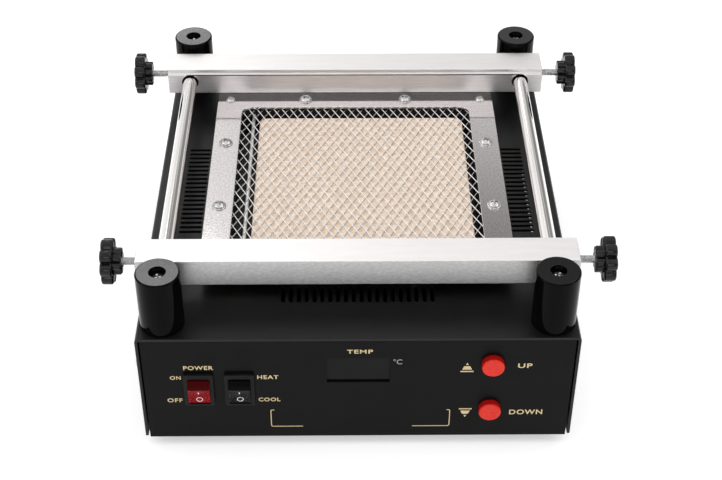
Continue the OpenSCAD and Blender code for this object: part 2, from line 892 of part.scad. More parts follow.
module key_switches() {
  color(black_plastic)
    for (z = [up_z, down_z])
      difference() {
        wall_shape(board_y - key_t, key_t)
          translate([button_x, z]) square(key_w, center = true);
        translate([button_x, board_y - key_t - cut, z])
          along_y() cylinder(d = stem_d + 2 * fit, h = button_travel + fit + cut);
      }
}

module display_window() {
  color("#1d1a1b")
    wall_shape(front_in, lens_t)
      translate([0, window_z])
        square([window_w + 2 * lens_rim, window_h + 2 * lens_rim], center = true);
}

module display_module() {
  color("#3a3636")
    wall_shape(front_in + lens_t, module_t)
      translate([0, window_z]) square([window_w - 2, window_h - 2], center = true);
}

module front_board() {
  color(board_green)
    wall_shape(board_y, board_t)
      difference() {
        translate([board_left, board_low])
          square([board_right - board_left, board_high - board_low]);
        for (p = FRONT_STUDS) translate(p) circle(d = m3[0] + 2 * close_fit);
      }
}

// Stud with a shoulder of the given height that carries a board
module stud(height) {
  cylinder(d = 2 * m3[0], h = height);
  cylinder(d = m3[0], h = height + board_t + 1);
}

module front_board_studs() {
  color(zinc)
    for (p = FRONT_STUDS)
      translate([p.x, front_in, p.y]) along_y() stud(board_y - front_in);
}

module power_board_plate() {
  difference() {
    translate([power_board_x, power_board_y]) square(power_board, center = true);
    for (p = POWER_STUDS) translate(p) circle(d = m3[0] + 2 * close_fit);
  }
}

module power_board() {
  color(board_green)
    translate([0, 0, power_z - board_t]) linear_extrude(board_t) power_board_plate();
}

module power_board_studs() {
  color(zinc)
    for (p = POWER_STUDS) translate([p.x, p.y, floor_z]) stud(stand_h);
}

module transformer() {
  color("#55504a")
    translate([transformer_x, power_board_y, power_z]) {
      translate([-core.x / 2, -core.y / 2, 0]) cube(core);
      translate([-coil.x / 2, -coil.y / 2, (core.z - coil.z) / 2]) cube(coil);
    }
}

module heat_sink() {
  fins = 7;
  step = (sink_base.x - sink_fin.x) / (fins - 1);
  color("#3c3d40")
    translate([heat_sink_x, power_board_y, power_z])
      linear_extrude(sink_h) {
        square(sink_base, center = true);
        for (i = [0 : fins - 1])
          translate([(i - (fins - 1) / 2) * step - sink_fin.x / 2, 0]) square(sink_fin);
      }
}

// Rear wall

module inlet_outline(grow) {
  w = inlet_mouth.x / 2 + grow;
  h = inlet_mouth.y / 2 + grow;
  bevel = 4;
  polygon([[-w, -h], [w, -h], [w, h - bevel], [w - bevel, h], [bevel - w, h], [-w, h - bevel]]);
}

module power_inlet() {
  pins = [[-7, -2], [0, 2], [7, -2]];
  face = rear_y + inlet_flange.z;
  color(black_plastic)
    translate([inlet_x, 0, inlet_z]) {
      difference() {
        union() {
          wall_shape(rear_y, inlet_flange.z)
            difference() {
              rounded_rect(inlet_flange.x, inlet_flange.y, 3);
              for (s = [-1, 1])
                translate([s * inlet_screw_pitch / 2, 0]) circle(d = m3[0] + 2 * fit);
            }
          wall_shape(face - inlet_depth - inlet_back, inlet_depth + inlet_back) inlet_outline(inlet_wall);
        }
        wall_shape(face - inlet_depth, inlet_depth + cut) inlet_outline(0);
      }
      for (p = pins)
        translate([p.x - inlet_pin.x / 2, face - inlet_depth, p.y - inlet_pin.z / 2]) cube(inlet_pin);
    }
}

module inlet_screws() {
  color(zinc)
    for (s = [-1, 1])
      translate([inlet_x + s * inlet_screw_pitch / 2, rear_y + inlet_flange.z, inlet_z])
        along_y() pan_screw(m3, inlet_flange.z + chassis_t + 4);
}

module fan_frame() {
  y0 = rear_in - fan_t;
  color(black_plastic)
    translate([fan_x, 0, fan_z]) {
      difference() {
        wall_shape(y0, fan_t)
          difference() {
            rounded_rect(fan_w, fan_w, 3);
            for (x = [-1, 1], z = [-1, 1])
              translate([x, z] * fan_screw_pitch / 2) circle(d = m4[0] + 2 * fit);
          }
        translate([0, y0 + fan_web, 0]) along_y() cylinder(d = fan_bore, h = fan_t);
        wall_shape(y0 - cut, fan_web + 2 * cut)
          difference() {
            circle(d = fan_bore);
            circle(d = fan_hub);
            for (a = [45, 135]) rotate(a) square([fan_w * 2, fan_web], center = true);
          }
      }
      translate([0, y0, 0]) along_y() cylinder(d = fan_shaft, h = fan_t - fan_web);
    }
}

module fan_rotor() {
  y0 = rear_in - fan_t + fan_web + fit;
  rotor_l = fan_t - 2 * fan_web;
  pitch_angle = 38;
  color(black_plastic)
    translate([fan_x, y0, fan_z])
      along_y()
        difference() {
          union() {
            cylinder(d = fan_hub, h = rotor_l);
            intersection() {
              cylinder(d = fan_bore - 2, h = rotor_l);
              for (i = [0 : fan_blades - 1])
                rotate([0, 0, i * 360 / fan_blades])
                  translate([fan_bore / 4, 0, rotor_l / 2])
                    rotate([pitch_angle, 0, 0]) cube([fan_bore / 2, 1.4, 2 * rotor_l], center = true);
            }
          }
          translate([0, 0, -cut]) cylinder(d = fan_shaft + 2 * close_fit, h = rotor_l + 2 * cut);
        }
}

module fan_guard() {
  rings = 4;
  ring_step = (fan_bore / 2 - guard_wire / 4) / rings;
  reach = fan_screw_pitch / 2 * sqrt(2);
  color(zinc)
    translate([fan_x, rear_y, fan_z])
      along_y() {
        translate([0, 0, guard_out - guard_wire / 2])
          for (i = [1 : rings])
            rotate_extrude() translate([i * ring_step, 0]) circle(d = guard_wire);
        for (a = [45 : 90 : 315])
          rotate(a) {
            translate([0, 0, guard_out - 1.3 * guard_wire])
              rotate([0, 90, 0]) cylinder(d = guard_wire, h = reach - m4[1] / 2);
            translate([reach - m4[1] / 2 - guard_wire / 2, 0, 0])
              cylinder(d = guard_wire, h = guard_out - 0.8 * guard_wire);
            translate([reach, 0, 0])
              difference() {
                cylinder(d = m4[1] + guard_wire, h = eye_t);
                translate([0, 0, -cut]) cylinder(d = m4[0] + 2 * fit, h = eye_t + 2 * cut);
              }
          }
      }
}

module fan_screws() {
  color(zinc)
    for (x = [-1, 1], z = [-1, 1])
      translate([fan_x + x * fan_screw_pitch / 2, rear_y + eye_t, fan_z + z * fan_screw_pitch / 2])
        along_y() pan_screw(fan_screw, eye_t + chassis_t + fan_t + 2);
}

chassis();
top_cover();
side_screws();
rubber_feet();
foot_screws();
frame_plate();
frame_screws();
frame_washers();
frame_nuts();
frame_spacers();
frame_rivets();
guard_mesh();
heater_tray();
insulation_board();
heating_strip();
ceramic_plate();
temperature_probe();
for (c = CORNERS) {
  post(c[1], c[2]);
  knob(c[1], c[2]);
  clamp_screw(c[1], c[2]);
}
post_screws();
post_nuts();
rod(-1);  // left_rod
rod(1);  // right_rod
bar(front_bar_y, 1);  // front_bar
bar(rear_bar_y, -1);  // rear_bar
rocker_switch(power_x);  // power_switch
rocker(power_x, red);  // power_rocker
rocker_switch(mode_x);  // mode_switch
rocker(mode_x, black_plastic);  // mode_rocker
push_button(up_z);  // up_button
push_button(down_z);  // down_button
key_switches();
display_window();
display_module();
front_board();
front_board_studs();
power_board();
power_board_studs();
transformer();
heat_sink();
power_inlet();
inlet_screws();
fan_frame();
fan_rotor();
fan_guard();
fan_screws();
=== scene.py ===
"""Looks of the board preheater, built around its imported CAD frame.

Lengths are in millimetres unless named otherwise.
"""

import math

import bmesh
import bpy
import numpy as np
from mathutils import Matrix, Vector


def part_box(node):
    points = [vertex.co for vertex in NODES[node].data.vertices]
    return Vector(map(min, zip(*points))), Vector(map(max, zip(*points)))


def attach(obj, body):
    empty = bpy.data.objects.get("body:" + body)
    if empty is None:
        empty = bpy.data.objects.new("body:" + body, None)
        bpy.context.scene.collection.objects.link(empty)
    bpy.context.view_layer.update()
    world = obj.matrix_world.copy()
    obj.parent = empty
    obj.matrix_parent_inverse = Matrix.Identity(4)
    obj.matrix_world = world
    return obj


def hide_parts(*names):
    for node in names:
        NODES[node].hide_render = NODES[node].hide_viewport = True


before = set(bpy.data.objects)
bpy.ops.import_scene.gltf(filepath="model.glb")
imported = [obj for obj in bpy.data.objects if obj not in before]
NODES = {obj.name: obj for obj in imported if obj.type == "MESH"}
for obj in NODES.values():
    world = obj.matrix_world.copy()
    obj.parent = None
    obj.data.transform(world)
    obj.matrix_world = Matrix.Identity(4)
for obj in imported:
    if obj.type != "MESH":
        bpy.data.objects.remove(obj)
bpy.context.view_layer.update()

MM = 0.001
TAU = 2 * math.pi


# Places, worked out from the frame

def span(node):
    """Lowest and highest corner of a node."""
    lo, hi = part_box(node)
    return np.array(lo) / MM, np.array(hi) / MM


def middle(node):
    lo, hi = span(node)
    return (lo + hi) / 2


CORNERS = [("front_left", -1, -1), ("front_right", 1, -1), ("rear_left", -1, 1), ("rear_right", 1, 1)]
FRONT_Y, REAR_Y = span("chassis")[0][1], span("chassis")[1][1]
PLATE_Z = span("frame_plate")[1][2]
HEATER_Y = middle("frame_plate")[1]
ROD_X, _, ROD_Z = middle("right_rod")
SWITCH_Z = middle("power_switch")[2]
FAN_X, _, FAN_Z = middle("fan_frame")
INLET_X, _, INLET_Z = middle("power_inlet")

# Sizes that the frame doesn't give

BORE_SHADE_R = 4.85          # reach of the painted shade ring round a rod in its bar
CERAMIC_ROW = 8.6           # pitch of the wavy rows on the ceramic plate
SWITCH_TILT = 13            # degrees from upright, in the frame's pose
PIVOT_IN = 1                # rockers' pivot behind the panel's face
FOOT_D = 16
KNOB_D, HUB_D, LOBES = 24, 14, 8
THREAD_PITCH, THREAD_DEPTH = 0.7, 0.36
RIVET_D, FRAME_PITCH = 5.4, 59
FAN_HOLE, INLET_HOLE = 25, 20   # screws' distance from the middle
PRINT_T = 0.04              # thickness of the printed words and lines
ARROW_H = 6.4

# Screws are (thread, head across, head height)
M4, M3, FRAME_HEAD, FAN_SCREW = (4, 7.4, 2.6), (3, 5.6, 2.2), (4, 6.6, 2.0), (4, 6.6, 2.6)
SIDE_SCREW_L, FOOT_SCREW_L, INLET_SCREW_L = 10, 6.2, 7.7

# The wire guard: half width, pitch, slope, wire radius and each layer's distance from the middle
GUARD_HALF, GUARD_CELL, GUARD_SLOPE, WIRE_R, LAYER = 69.7, 4.9, 0.5, 0.28, 0.33

# Printed words: name, text, box (x0, x1, z0, z1) on the front panel, and any finish, weight and spread
PRINTS = [
    ("power", "POWER", (-87.7, -72.7, 54.9, 57.6)),
    ("on", "ON", (-94.9, -89.4, 48.2, 50.7)),
    ("off", "OFF", (-97.3, -89.6, 32.3, 35.0)),
    ("heat", "HEAT", (-50.9, -40.2, 48.4, 51.0)),
    ("cool", "COOL", (-50.8, -39.7, 32.6, 35.2)),
    ("temp", "TEMP", (-5.6, 7.3, 65.6, 68.2)),
    ("degree", "\u00b0C", (17.6, 22.0, 58.2, 61.6), "pale", 0.0, 1.0),
    ("up", "UP", (80.2, 87.4, 55.2, 58.3)),
    ("down", "DOWN", (77.9, 95.0, 22.2, 25.6)),
]

# Limits used when meshes are made
ARC_SHARE = 0.48            # most of a side that one corner's arc takes
STRAIGHT = 1.55             # half angle of a corner that counts as straight, in radians
WELD_M = 2e-6               # points this near are one, in metres
FLAT_DEG, EDGE_DEG = 0.4, 30    # below the first a fold is flat, above the second it is an edge


# Shapes: each is (vertices, faces)

def lathe(profile, segments=64, closed=False):
    """Solid of revolution about Z from (radius, height) points."""
    angles = np.arange(segments) * TAU / segments
    verts, rows = [], []
    for r, z in profile:
        if r < 1e-6:
            rows.append([len(verts)] * segments)
            verts.append((0.0, 0.0, z))
        else:
            rows.append(list(range(len(verts), len(verts) + segments)))
            verts += [(r * math.cos(a), r * math.sin(a), z) for a in angles]
    faces = []
    pairs = list(zip(rows, rows[1:])) + ([(rows[-1], rows[0])] if closed else [])
    for a, b in pairs:
        for i in range(segments):
            j = (i + 1) % segments
            face = []
            for v in (a[i], a[j], b[j], b[i]):
                if v not in face:
                    face.append(v)
            if len(face) > 2:
                faces.append(tuple(face))
    return np.array(verts), faces


def rings(rows):
    """Skin over closed rows of equal length, with flat ends."""
    n = len(rows[0])
    verts = np.vstack(rows)
    faces = [tuple(range(n - 1, -1, -1)), tuple((len(rows) - 1) * n + i for i in range(n))]
    for k in range(len(rows) - 1):
        for i in range(n):
            j = (i + 1) % n
            faces.append((k * n + i, k * n + j, (k + 1) * n + j, (k + 1) * n + i))
    return verts, faces


def fillet(points, radius, steps=5):
    """Closed outline with its corners turned into arcs."""
    points = [np.array(p, float) for p in points]
    out = []
    for i, p in enumerate(points):
        a, b = points[i - 1] - p, points[(i + 1) % len(points)] - p
        la, lb = np.linalg.norm(a), np.linalg.norm(b)
        a, b = a / la, b / lb
        half = math.acos(max(-1, min(1, a @ b))) / 2
        r = radius[i] if isinstance(radius, (list, tuple)) else radius
        reach = min(r / math.tan(half), ARC_SHARE * la, ARC_SHARE * lb) if half < STRAIGHT else 0
        if reach < 1e-4:
            out.append(p)
            continue
        r = reach * math.tan(half)
        mid = (a + b) / np.linalg.norm(a + b)
        centre = p + mid * r / math.sin(half)
        start, stop = p + a * reach - centre, p + b * reach - centre
        turn = math.atan2(start[0] * stop[1] - start[1] * stop[0], start @ stop)
        for k in range(steps + 1):
            t = turn * k / steps
            c, s = math.cos(t), math.sin(t)
            out.append(centre + [start[0] * c - start[1] * s, start[0] * s + start[1] * c])
    return np.array(out)


def inset(outline, d):
    """Counter-clockwise outline moved inwards by d."""
    ahead = np.roll(outline, -1, 0) - outline
    ahead /= np.linalg.norm(ahead, axis=1)[:, None]
    behind = np.roll(ahead, 1, 0)
    n1, n2 = np.stack([-behind[:, 1], behind[:, 0]], 1), np.stack([-ahead[:, 1], ahead[:, 0]], 1)
    n = n1 + n2
    n /= np.maximum((n * n1).sum(1), 0.4)[:, None]
    return outline + n * d


def prism(outline, z0, z1, edge=0.3, steps=3):
    """Outline in X and Y from z0 to z1, with rounded end edges."""
    rows = []
    for k in range(steps + 1):
        a = k / steps * math.pi / 2
        flat = inset(outline, edge * (1 - math.sin(a)))
        rows.append((flat, edge * (1 - math.cos(a))))
    stack = [np.column_stack([f, np.full(len(f), z0 + d)]) for f, d in rows]
    stack += [np.column_stack([f, np.full(len(f), z1 - d)]) for f, d in reversed(rows)]
    return rings(stack)


def tube(path, radius, sides=8, closed=False, up=(0, 0, 1)):
    """Round wire along points."""
    path = np.array(path, float)
    ahead = np.roll(path, -1, 0) - np.roll(path, 1, 0)
    if not closed:
        ahead[0], ahead[-1] = path[1] - path[0], path[-1] - path[-2]
    ahead /= np.linalg.norm(ahead, axis=1)[:, None]
    side = np.cross(np.array(up, float), ahead)
    side /= np.linalg.norm(side, axis=1)[:, None]
    top = np.cross(ahead, side)
    a = np.arange(sides) * TAU / sides
    ring = np.cos(a)[None, :, None] * side[:, None] + np.sin(a)[None, :, None] * top[:, None]
    verts = (path[:, None] + radius * ring).reshape(-1, 3)
    n, faces = len(path), []
    for k in range(n if closed else n - 1):
        m = (k + 1) % n
        for i in range(sides):
            j = (i + 1) % sides
            faces.append((k * sides + i, k * sides + j, m * sides + j, m * sides + i))
    if not closed:
        faces += [tuple(range(sides - 1, -1, -1)), tuple((n - 1) * sides + i for i in range(sides))]
    return verts, faces


def thread(d, pitch, length, depth, sides=20, per_turn=8):
    """Threaded rod along +Z."""
    a = np.arange(sides) * TAU / sides
    rows = []
    for z in np.linspace(0, length, int(length / pitch * per_turn)):
        phase = (z / pitch - a / TAU) % 1
        r = d / 2 - depth * np.abs(2 * phase - 1)
        r = np.minimum(r, d / 2 - depth + min(z, length - z))
        rows.append(np.column_stack([r * np.cos(a), r * np.sin(a), np.full(sides, z)]))
    return rings(rows)


def hoop(rows):
    """Skin over closed rows of equal length, closed from the last row to the first."""
    n, count = len(rows[0]), len(rows)
    faces = []
    for k in range(count):
        m = (k + 1) % count
        faces += [(k * n + i, k * n + (i + 1) % n, m * n + (i + 1) % n, m * n + i) for i in range(n)]
    return np.vstack(rows), faces


def moved(shape, place=(0, 0, 0), axis=(0, 0, 1), turn=0.0):
    """Shape turned about its own Z, laid along axis and moved to place."""
    lay = Vector((0, 0, 1)).rotation_difference(Vector(axis)).to_matrix()
    spin = lay @ Matrix.Rotation(math.radians(turn), 3, "Z")
    return shape[0] @ np.array(spin).T + np.array(place), shape[1]


def joined(shapes):
    verts, faces, base = [], [], 0
    for v, f in shapes:
        verts.append(v)
        faces += [tuple(i + base for i in face) for face in f]
        base += len(v)
    return np.vstack(verts), faces


def raw_object(shape):
    mesh = bpy.data.meshes.new("raw")
    mesh.from_pydata(np.asarray(shape[0]).tolist(), [], shape[1])
    obj = bpy.data.objects.new("raw", mesh)
    bpy.context.scene.collection.objects.link(obj)
    return obj


def mesh_shape(obj):
    """Final mesh of a helper object, which is then removed."""
    bpy.context.view_layer.update()
    made = obj.evaluated_get(bpy.context.evaluated_depsgraph_get())
    mesh = made.to_mesh()
    shape = np.array([v.co for v in mesh.vertices]), [tuple(p.vertices) for p in mesh.polygons]
    made.to_mesh_clear()
    bpy.data.objects.remove(obj)
    return shape


def carved(shape, cutter):
    a, b = raw_object(shape), raw_object(cutter)
    cut = a.modifiers.new("cut", "BOOLEAN")
    cut.operation, cut.object, cut.solver = "DIFFERENCE", b, "EXACT"
    result = mesh_shape(a)
    bpy.data.objects.remove(b)
    return result


# Pieces

def shaded(obj, sharp, weighted):
    obj.data.shade_smooth()
    obj.data.set_sharp_from_angle(angle=math.radians(sharp))
    if weighted:
        normals = obj.modifiers.new("normals", "WEIGHTED_NORMAL")
        normals.keep_sharp = True
        normals.weight = 100


def placed(name, mesh, body, finish, replaces, sharp, weighted):
    mesh.materials.append(finish)
    obj = bpy.data.objects.new(name, mesh)
    bpy.context.scene.collection.objects.link(obj)
    shaded(obj, sharp, weighted)
    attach(obj, body)
    if replaces:
        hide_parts(*replaces)
    return obj


def piece(name, shape, finish, body="base", replaces=(), sharp=38, weighted=False):
    mesh = bpy.data.meshes.new(name)
    mesh.from_pydata((np.asarray(shape[0]) * MM).tolist(), [], shape[1])
    bm = bmesh.new()
    bm.from_mesh(mesh)
    bmesh.ops.recalc_face_normals(bm, faces=bm.faces)
    bm.to_mesh(mesh)
    bm.free()
    return placed(name, mesh, body, finish, replaces, sharp, weighted)


def dress(name, node, finish, edge=0.25, steps=2, body="base"):
    """Piece with a node's own form and its sharp edges rounded, in place of the node."""
    bm = bmesh.new()
    bm.from_mesh(NODES[node].data)
    bmesh.ops.remove_doubles(bm, verts=bm.verts, dist=WELD_M)
    bmesh.ops.dissolve_limit(bm, angle_limit=math.radians(FLAT_DEG), verts=bm.verts, edges=bm.edges)
    least = math.radians(EDGE_DEG)
    sharp = [e for e in bm.edges if len(e.link_faces) == 2 and e.calc_face_angle() > least]
    bmesh.ops.bevel(bm, geom=sharp, offset=edge * MM, offset_type="OFFSET", segments=steps,
                    profile=0.5, affect="EDGES", clamp_overlap=False)
    mesh = bpy.data.meshes.new(name)
    bm.to_mesh(mesh)
    bm.free()
    return placed(name, mesh, body, finish, (node,), sharp=50, weighted=True)


def keep(node, finish):
    """CAD node that stays as it is, with a better finish."""
    for slot in NODES[node].material_slots:
        slot.material = finish


# Finishes

class Graph:
    """Adds shader nodes to a tree."""

    def __init__(self, tree):
        self.nodes, self.links = tree.nodes, tree.links
        self.coords = self.nodes.new("ShaderNodeTexCoord")

    def put(self, value, socket):
        if isinstance(value, (tuple, list)):
            socket.default_value = (*value, 1)
        elif isinstance(value, (int, float)):
            is_colour = socket.type == "RGBA"
            socket.default_value = (value, value, value, 1) if is_colour else value
        else:
            self.links.new(value, socket)

    def noise(self, size, detail=2.0, stretch=(1, 1, 1)):
        """Noise whose grains are about size mm across, longer by stretch."""
        scale = self.nodes.new("ShaderNodeMapping")
        scale.inputs["Scale"].default_value = [1 / MM / size / s for s in stretch]
        self.links.new(self.coords.outputs["Object"], scale.inputs["Vector"])
        tex = self.nodes.new("ShaderNodeTexNoise")
        tex.inputs["Scale"].default_value = 1.0
        tex.inputs["Detail"].default_value = detail
        self.links.new(scale.outputs["Vector"], tex.inputs["Vector"])
        return tex.outputs["Fac"]

    def ramp(self, value, stops):
        """Colour or number by a value: stops are (place, colour or number)."""
        node = self.nodes.new("ShaderNodeValToRGB")
        points = node.color_ramp.elements
        while len(points) < len(stops):
            points.new(1.0)
        for point, (place, colour) in zip(points, stops):
            point.position = place
            tint = (colour,) * 3 if isinstance(colour, (int, float)) else colour
            point.color = (*tint, 1)
        self.links.new(value, node.inputs["Fac"])
        return node.outputs["Color"]

    def math(self, operation, *values):
        node = self.nodes.new("ShaderNodeMath")
        node.operation = operation
        for socket, value in zip(node.inputs, values):
            self.put(value, socket)
        return node.outputs[0]

    def axis(self, output, index):
        node = self.nodes.new("ShaderNodeSeparateXYZ")
        self.links.new(self.coords.outputs[output], node.inputs[0])
        return node.outputs[index]

    def mix(self, factor, a, b):
        node = self.nodes.new("ShaderNodeMix")
        node.data_type = "RGBA"
        for socket, value in ((node.inputs["Factor"], factor), (node.inputs[6], a), (node.inputs[7], b)):
            self.put(value, socket)
        return node.outputs[2]


class Look(Graph):
    """Builds one procedural material on object coordinates."""

    def __init__(self, name, metallic=0.0, specular=0.5):
        self.mat = bpy.data.materials.new(name)
        self.mat.use_nodes = True
        super().__init__(self.mat.node_tree)
        self.bsdf = self.nodes["Principled BSDF"]
        self.bsdf.inputs["Metallic"].default_value = metallic
        self.bsdf.inputs["Specular IOR Level"].default_value = specular
        self.height = None

    def to(self, socket, output):
        self.links.new(output, self.bsdf.inputs[socket])
        return self

    def bump(self, output, depth):
        """Relief of the given depth in mm."""
        node = self.nodes.new("ShaderNodeBump")
        node.inputs["Strength"].default_value = 1.0
        node.inputs["Distance"].default_value = depth * MM
        self.links.new(output, node.inputs["Height"])
        if self.height:
            self.links.new(self.height, node.inputs["Normal"])
        self.height = node.outputs["Normal"]
        self.links.new(self.height, self.bsdf.inputs["Normal"])
        return self


def plain(name, dark, light, rough, tone=6.0, grain=0.35, depth=0.01, stretch=(1, 1, 1), **kw):
    """Finish with a soft change of tone, a change of gloss and a fine grain of some depth, all in mm."""
    look = Look(name, **kw)
    look.to("Base Color", look.ramp(look.noise(tone, 3, stretch), [(0.3, dark), (0.7, light)]))
    look.to("Roughness", look.ramp(look.noise(tone * 0.6, 4, stretch), [(0.3, rough[0]), (0.7, rough[1])]))
    look.bump(look.noise(grain, 2, stretch), depth)
    return look.mat


def grey(v, warm=0.0):
    return (v * (1 + warm), v, v * (1 - warm))


def make_finishes():
    f = {}
    f["paint"] = plain("cover_powder_coat", grey(0.0032), grey(0.0048), (0.36, 0.44),
                       tone=14, grain=0.5, depth=0.006, specular=0.28)
    f["panel"] = plain("panel_powder_coat", grey(0.0032), grey(0.0044), (0.3, 0.38),
                       tone=14, grain=0.5, depth=0.005, specular=0.085)
    f["steel"] = plain("polished_steel", (0.66, 0.63, 0.625), (0.86, 0.82, 0.815), (0.06, 0.11),
                       tone=1.1, grain=0.7, depth=0.0015, metallic=1.0)
    # painted light and shade: the guard's two wire directions are one steel, one copy painted lit and one
    # painted shaded
    f["wire_light"] = plain("guard_wire_light", grey(0.86), grey(0.94), (0.3, 0.42),
                            tone=3, grain=0.2, depth=0.004, metallic=0.7)
    f["wire_dark"] = plain("guard_wire_dark", grey(0.48), grey(0.58), (0.2, 0.32),
                           tone=3, grain=0.2, depth=0.004, metallic=1.0)
    f["zinc"] = plain("bright_zinc", grey(0.44, 0.01), grey(0.64, 0.01), (0.2, 0.34),
                      tone=1.2, grain=0.2, depth=0.004, metallic=1.0)
    f["rod"] = plain("ground_rod", grey(0.85, 0.025), grey(0.93, 0.025), (0.06, 0.12),
                     tone=5, grain=0.12, depth=0.0008, stretch=(1, 18, 1), metallic=1.0)
    f["knob"] = plain("knob_plastic", grey(0.003), grey(0.005), (0.12, 0.2),
                      tone=3, grain=0.4, depth=0.004, specular=0.3)
    f["black"] = plain("black_plastic", grey(0.006), grey(0.009), (0.28, 0.4),
                       tone=4, grain=0.35, depth=0.008, specular=0.13)
    f["rubber"] = plain("foot_rubber", grey(0.016), grey(0.024), (0.65, 0.8),
                        tone=3, grain=0.4, depth=0.03, specular=0.3)
    # partly oxidised steel, partly painted shade of the gap round the ceramic
    f["tray"] = plain("tray_oxide_and_painted_shade", (0.014, 0.012, 0.011), (0.026, 0.022, 0.020), (0.5, 0.65),
                      tone=6, grain=0.4, depth=0.01, metallic=0.5)
    f["lens"] = plain("smoked_acrylic", grey(0.0035), grey(0.005), (0.14, 0.22),
                      tone=9, grain=0.6, depth=0.002, specular=0.12)
    f["gold"] = plain("gold_print", (0.80, 0.63, 0.33), (0.90, 0.74, 0.43), (0.35, 0.5),
                      tone=1.2, grain=0.2, depth=0.004, specular=0.3)
    f["white"] = plain("white_print", grey(0.80), grey(0.88), (0.4, 0.55),
                       tone=1.2, grain=0.2, depth=0.004, specular=0.3)
    f["pale"] = plain("pale_print", grey(0.42), grey(0.52), (0.4, 0.55),
                      tone=1.2, grain=0.2, depth=0.004, specular=0.3)
    f["fibre"] = plain("scorched_fibre", (0.030, 0.027, 0.024), (0.055, 0.049, 0.043), (0.8, 0.95),
                       tone=2.0, grain=0.4, depth=0.12, stretch=(4, 1, 1))
    f["strip"] = plain("resistance_alloy", (0.14, 0.10, 0.08), (0.24, 0.19, 0.16), (0.4, 0.6),
                       tone=3, grain=0.3, depth=0.01, metallic=1.0)
    f["board"] = plain("solder_mask", (0.02, 0.10, 0.035), (0.03, 0.14, 0.05), (0.3, 0.45),
                       tone=5, grain=0.4, depth=0.012)
    f["iron"] = plain("laminations", (0.10, 0.085, 0.07), (0.17, 0.15, 0.13), (0.4, 0.6),
                      tone=2, grain=0.5, depth=0.05, stretch=(12, 12, 1), metallic=0.6)
    f["sink"] = plain("black_anodised", grey(0.03), grey(0.045), (0.35, 0.5),
                      tone=3, grain=0.3, depth=0.01, stretch=(1, 1, 12), metallic=0.8)
    f["brass"] = plain("nickel_pin", (0.55, 0.5, 0.42), (0.7, 0.65, 0.55), (0.16, 0.3),
                       tone=2, grain=0.3, depth=0.004, metallic=1.0)
    f["bar"] = bar_finish()
    f["post"] = plain("turned_plastic", grey(0.0016), grey(0.0026), (0.08, 0.14),
                      tone=4, grain=0.3, depth=0.002, stretch=(1, 1, 8), specular=0.05)
    # partly painted light: the post's flat top has its own gloss as a faced end, and its lighter colour is
    # painted light
    f["post_top"] = plain("plastic_face_painted_lit", grey(0.004), grey(0.007), (0.1, 0.16),
                          tone=1.2, grain=0.3, depth=0.002, specular=0.32)
    f["ceramic"] = ceramic_finish()
    f["red"] = button_finish()
    # each rocker's first colour is painted shade for its upward faces
    f["power_rocker"] = rocker_finish("power_rocker_plastic", (0.05, 0.0006, 0.001),
                                      (0.21, 0.002, 0.004), (0.6, 0.035, 0.045))
    f["mode_rocker"] = rocker_finish("mode_rocker_plastic", grey(0.002), grey(0.006), grey(0.07))
    return f


def bar_finish():
    """Satin aluminium with painted light: pale top and underside painted as lit, greyer sides, a darker
    outer side painted as shaded, and painted shade round the rods' bores.
    """
    look = Look("satin_aluminium", metallic=1.0)
    level = look.math("ABSOLUTE", look.axis("Normal", 2))
    outwards = look.math("MULTIPLY", look.axis("Object", 1), look.axis("Normal", 1))
    outer = look.math("GREATER_THAN", outwards, 0.0)
    grain = look.noise(0.4, 3, (5, 1, 1))
    painted_shade_outer = look.ramp(grain, [(0.3, grey(0.46)), (0.7, grey(0.66))])
    brushed = look.ramp(look.noise(0.5, 3, (30, 1, 1)),
                        [(0.3, (0.63, 0.61, 0.61)), (0.7, (0.735, 0.715, 0.715))])
    painted_lit_top = look.ramp(look.noise(3, 3, (8, 1, 1)),
                       [(0.3, (0.90, 0.875, 0.87)), (0.7, (0.94, 0.915, 0.91))])
    # painted light: faces that point up or down take the pale lit tone, the sides a greyer shaded tone,
    # darkest on the outer side
    colour = look.mix(look.ramp(level, [(0.7, 0.0), (0.95, 1.0)]), look.mix(outer, brushed, painted_shade_outer), painted_lit_top)
    # painted shade: a near-black ring round each rod's bore
    dx = look.math("SUBTRACT", look.math("ABSOLUTE", look.axis("Object", 0)), ROD_X * MM)
    dz = look.math("SUBTRACT", look.axis("Object", 2), ROD_Z * MM)
    square = look.math("ADD", look.math("MULTIPLY", dx, dx), look.math("MULTIPLY", dz, dz))
    away = look.math("SQRT", square)
    painted_bore_shade = look.math("LESS_THAN", away, BORE_SHADE_R * MM)
    look.to("Base Color", look.mix(painted_bore_shade, colour, grey(0.008)))
    look.to("Roughness", look.ramp(grain, [(0.3, 0.38), (0.7, 0.48)]))
    look.bump(look.noise(0.28, 2, (3, 1, 1)), 0.012)
    return look.mat


def ceramic_finish():
    """Cream fired ceramic with faint wavy rows across it."""
    look = Look("cream_ceramic", specular=0.3)
    grain = look.noise(1.1, 3)
    base = look.ramp(look.noise(2.2, 4), [(0.36, (0.765, 0.60, 0.455)), (0.64, (0.97, 0.82, 0.715))])
    rise = look.math("MULTIPLY", look.axis("Object", 1), TAU / CERAMIC_ROW / MM)
    wave = look.math("MULTIPLY_ADD", look.noise(9, 2, (1.2, 0.6, 1)), 3.2, rise)
    rows = look.math("POWER", look.math("MULTIPLY_ADD", look.math("SINE", wave), 0.5, 0.5), 3.0)
    rows = look.math("MULTIPLY", rows, look.ramp(look.noise(7, 3), [(0.35, 0.1), (0.7, 0.55)]))
    look.to("Base Color", look.mix(look.math("MULTIPLY", rows, 0.6), base, (0.74, 0.62, 0.48)))
    look.to("Roughness", look.ramp(grain, [(0.3, 0.62), (0.7, 0.8)]))
    look.bump(grain, 0.12)
    return look.mat


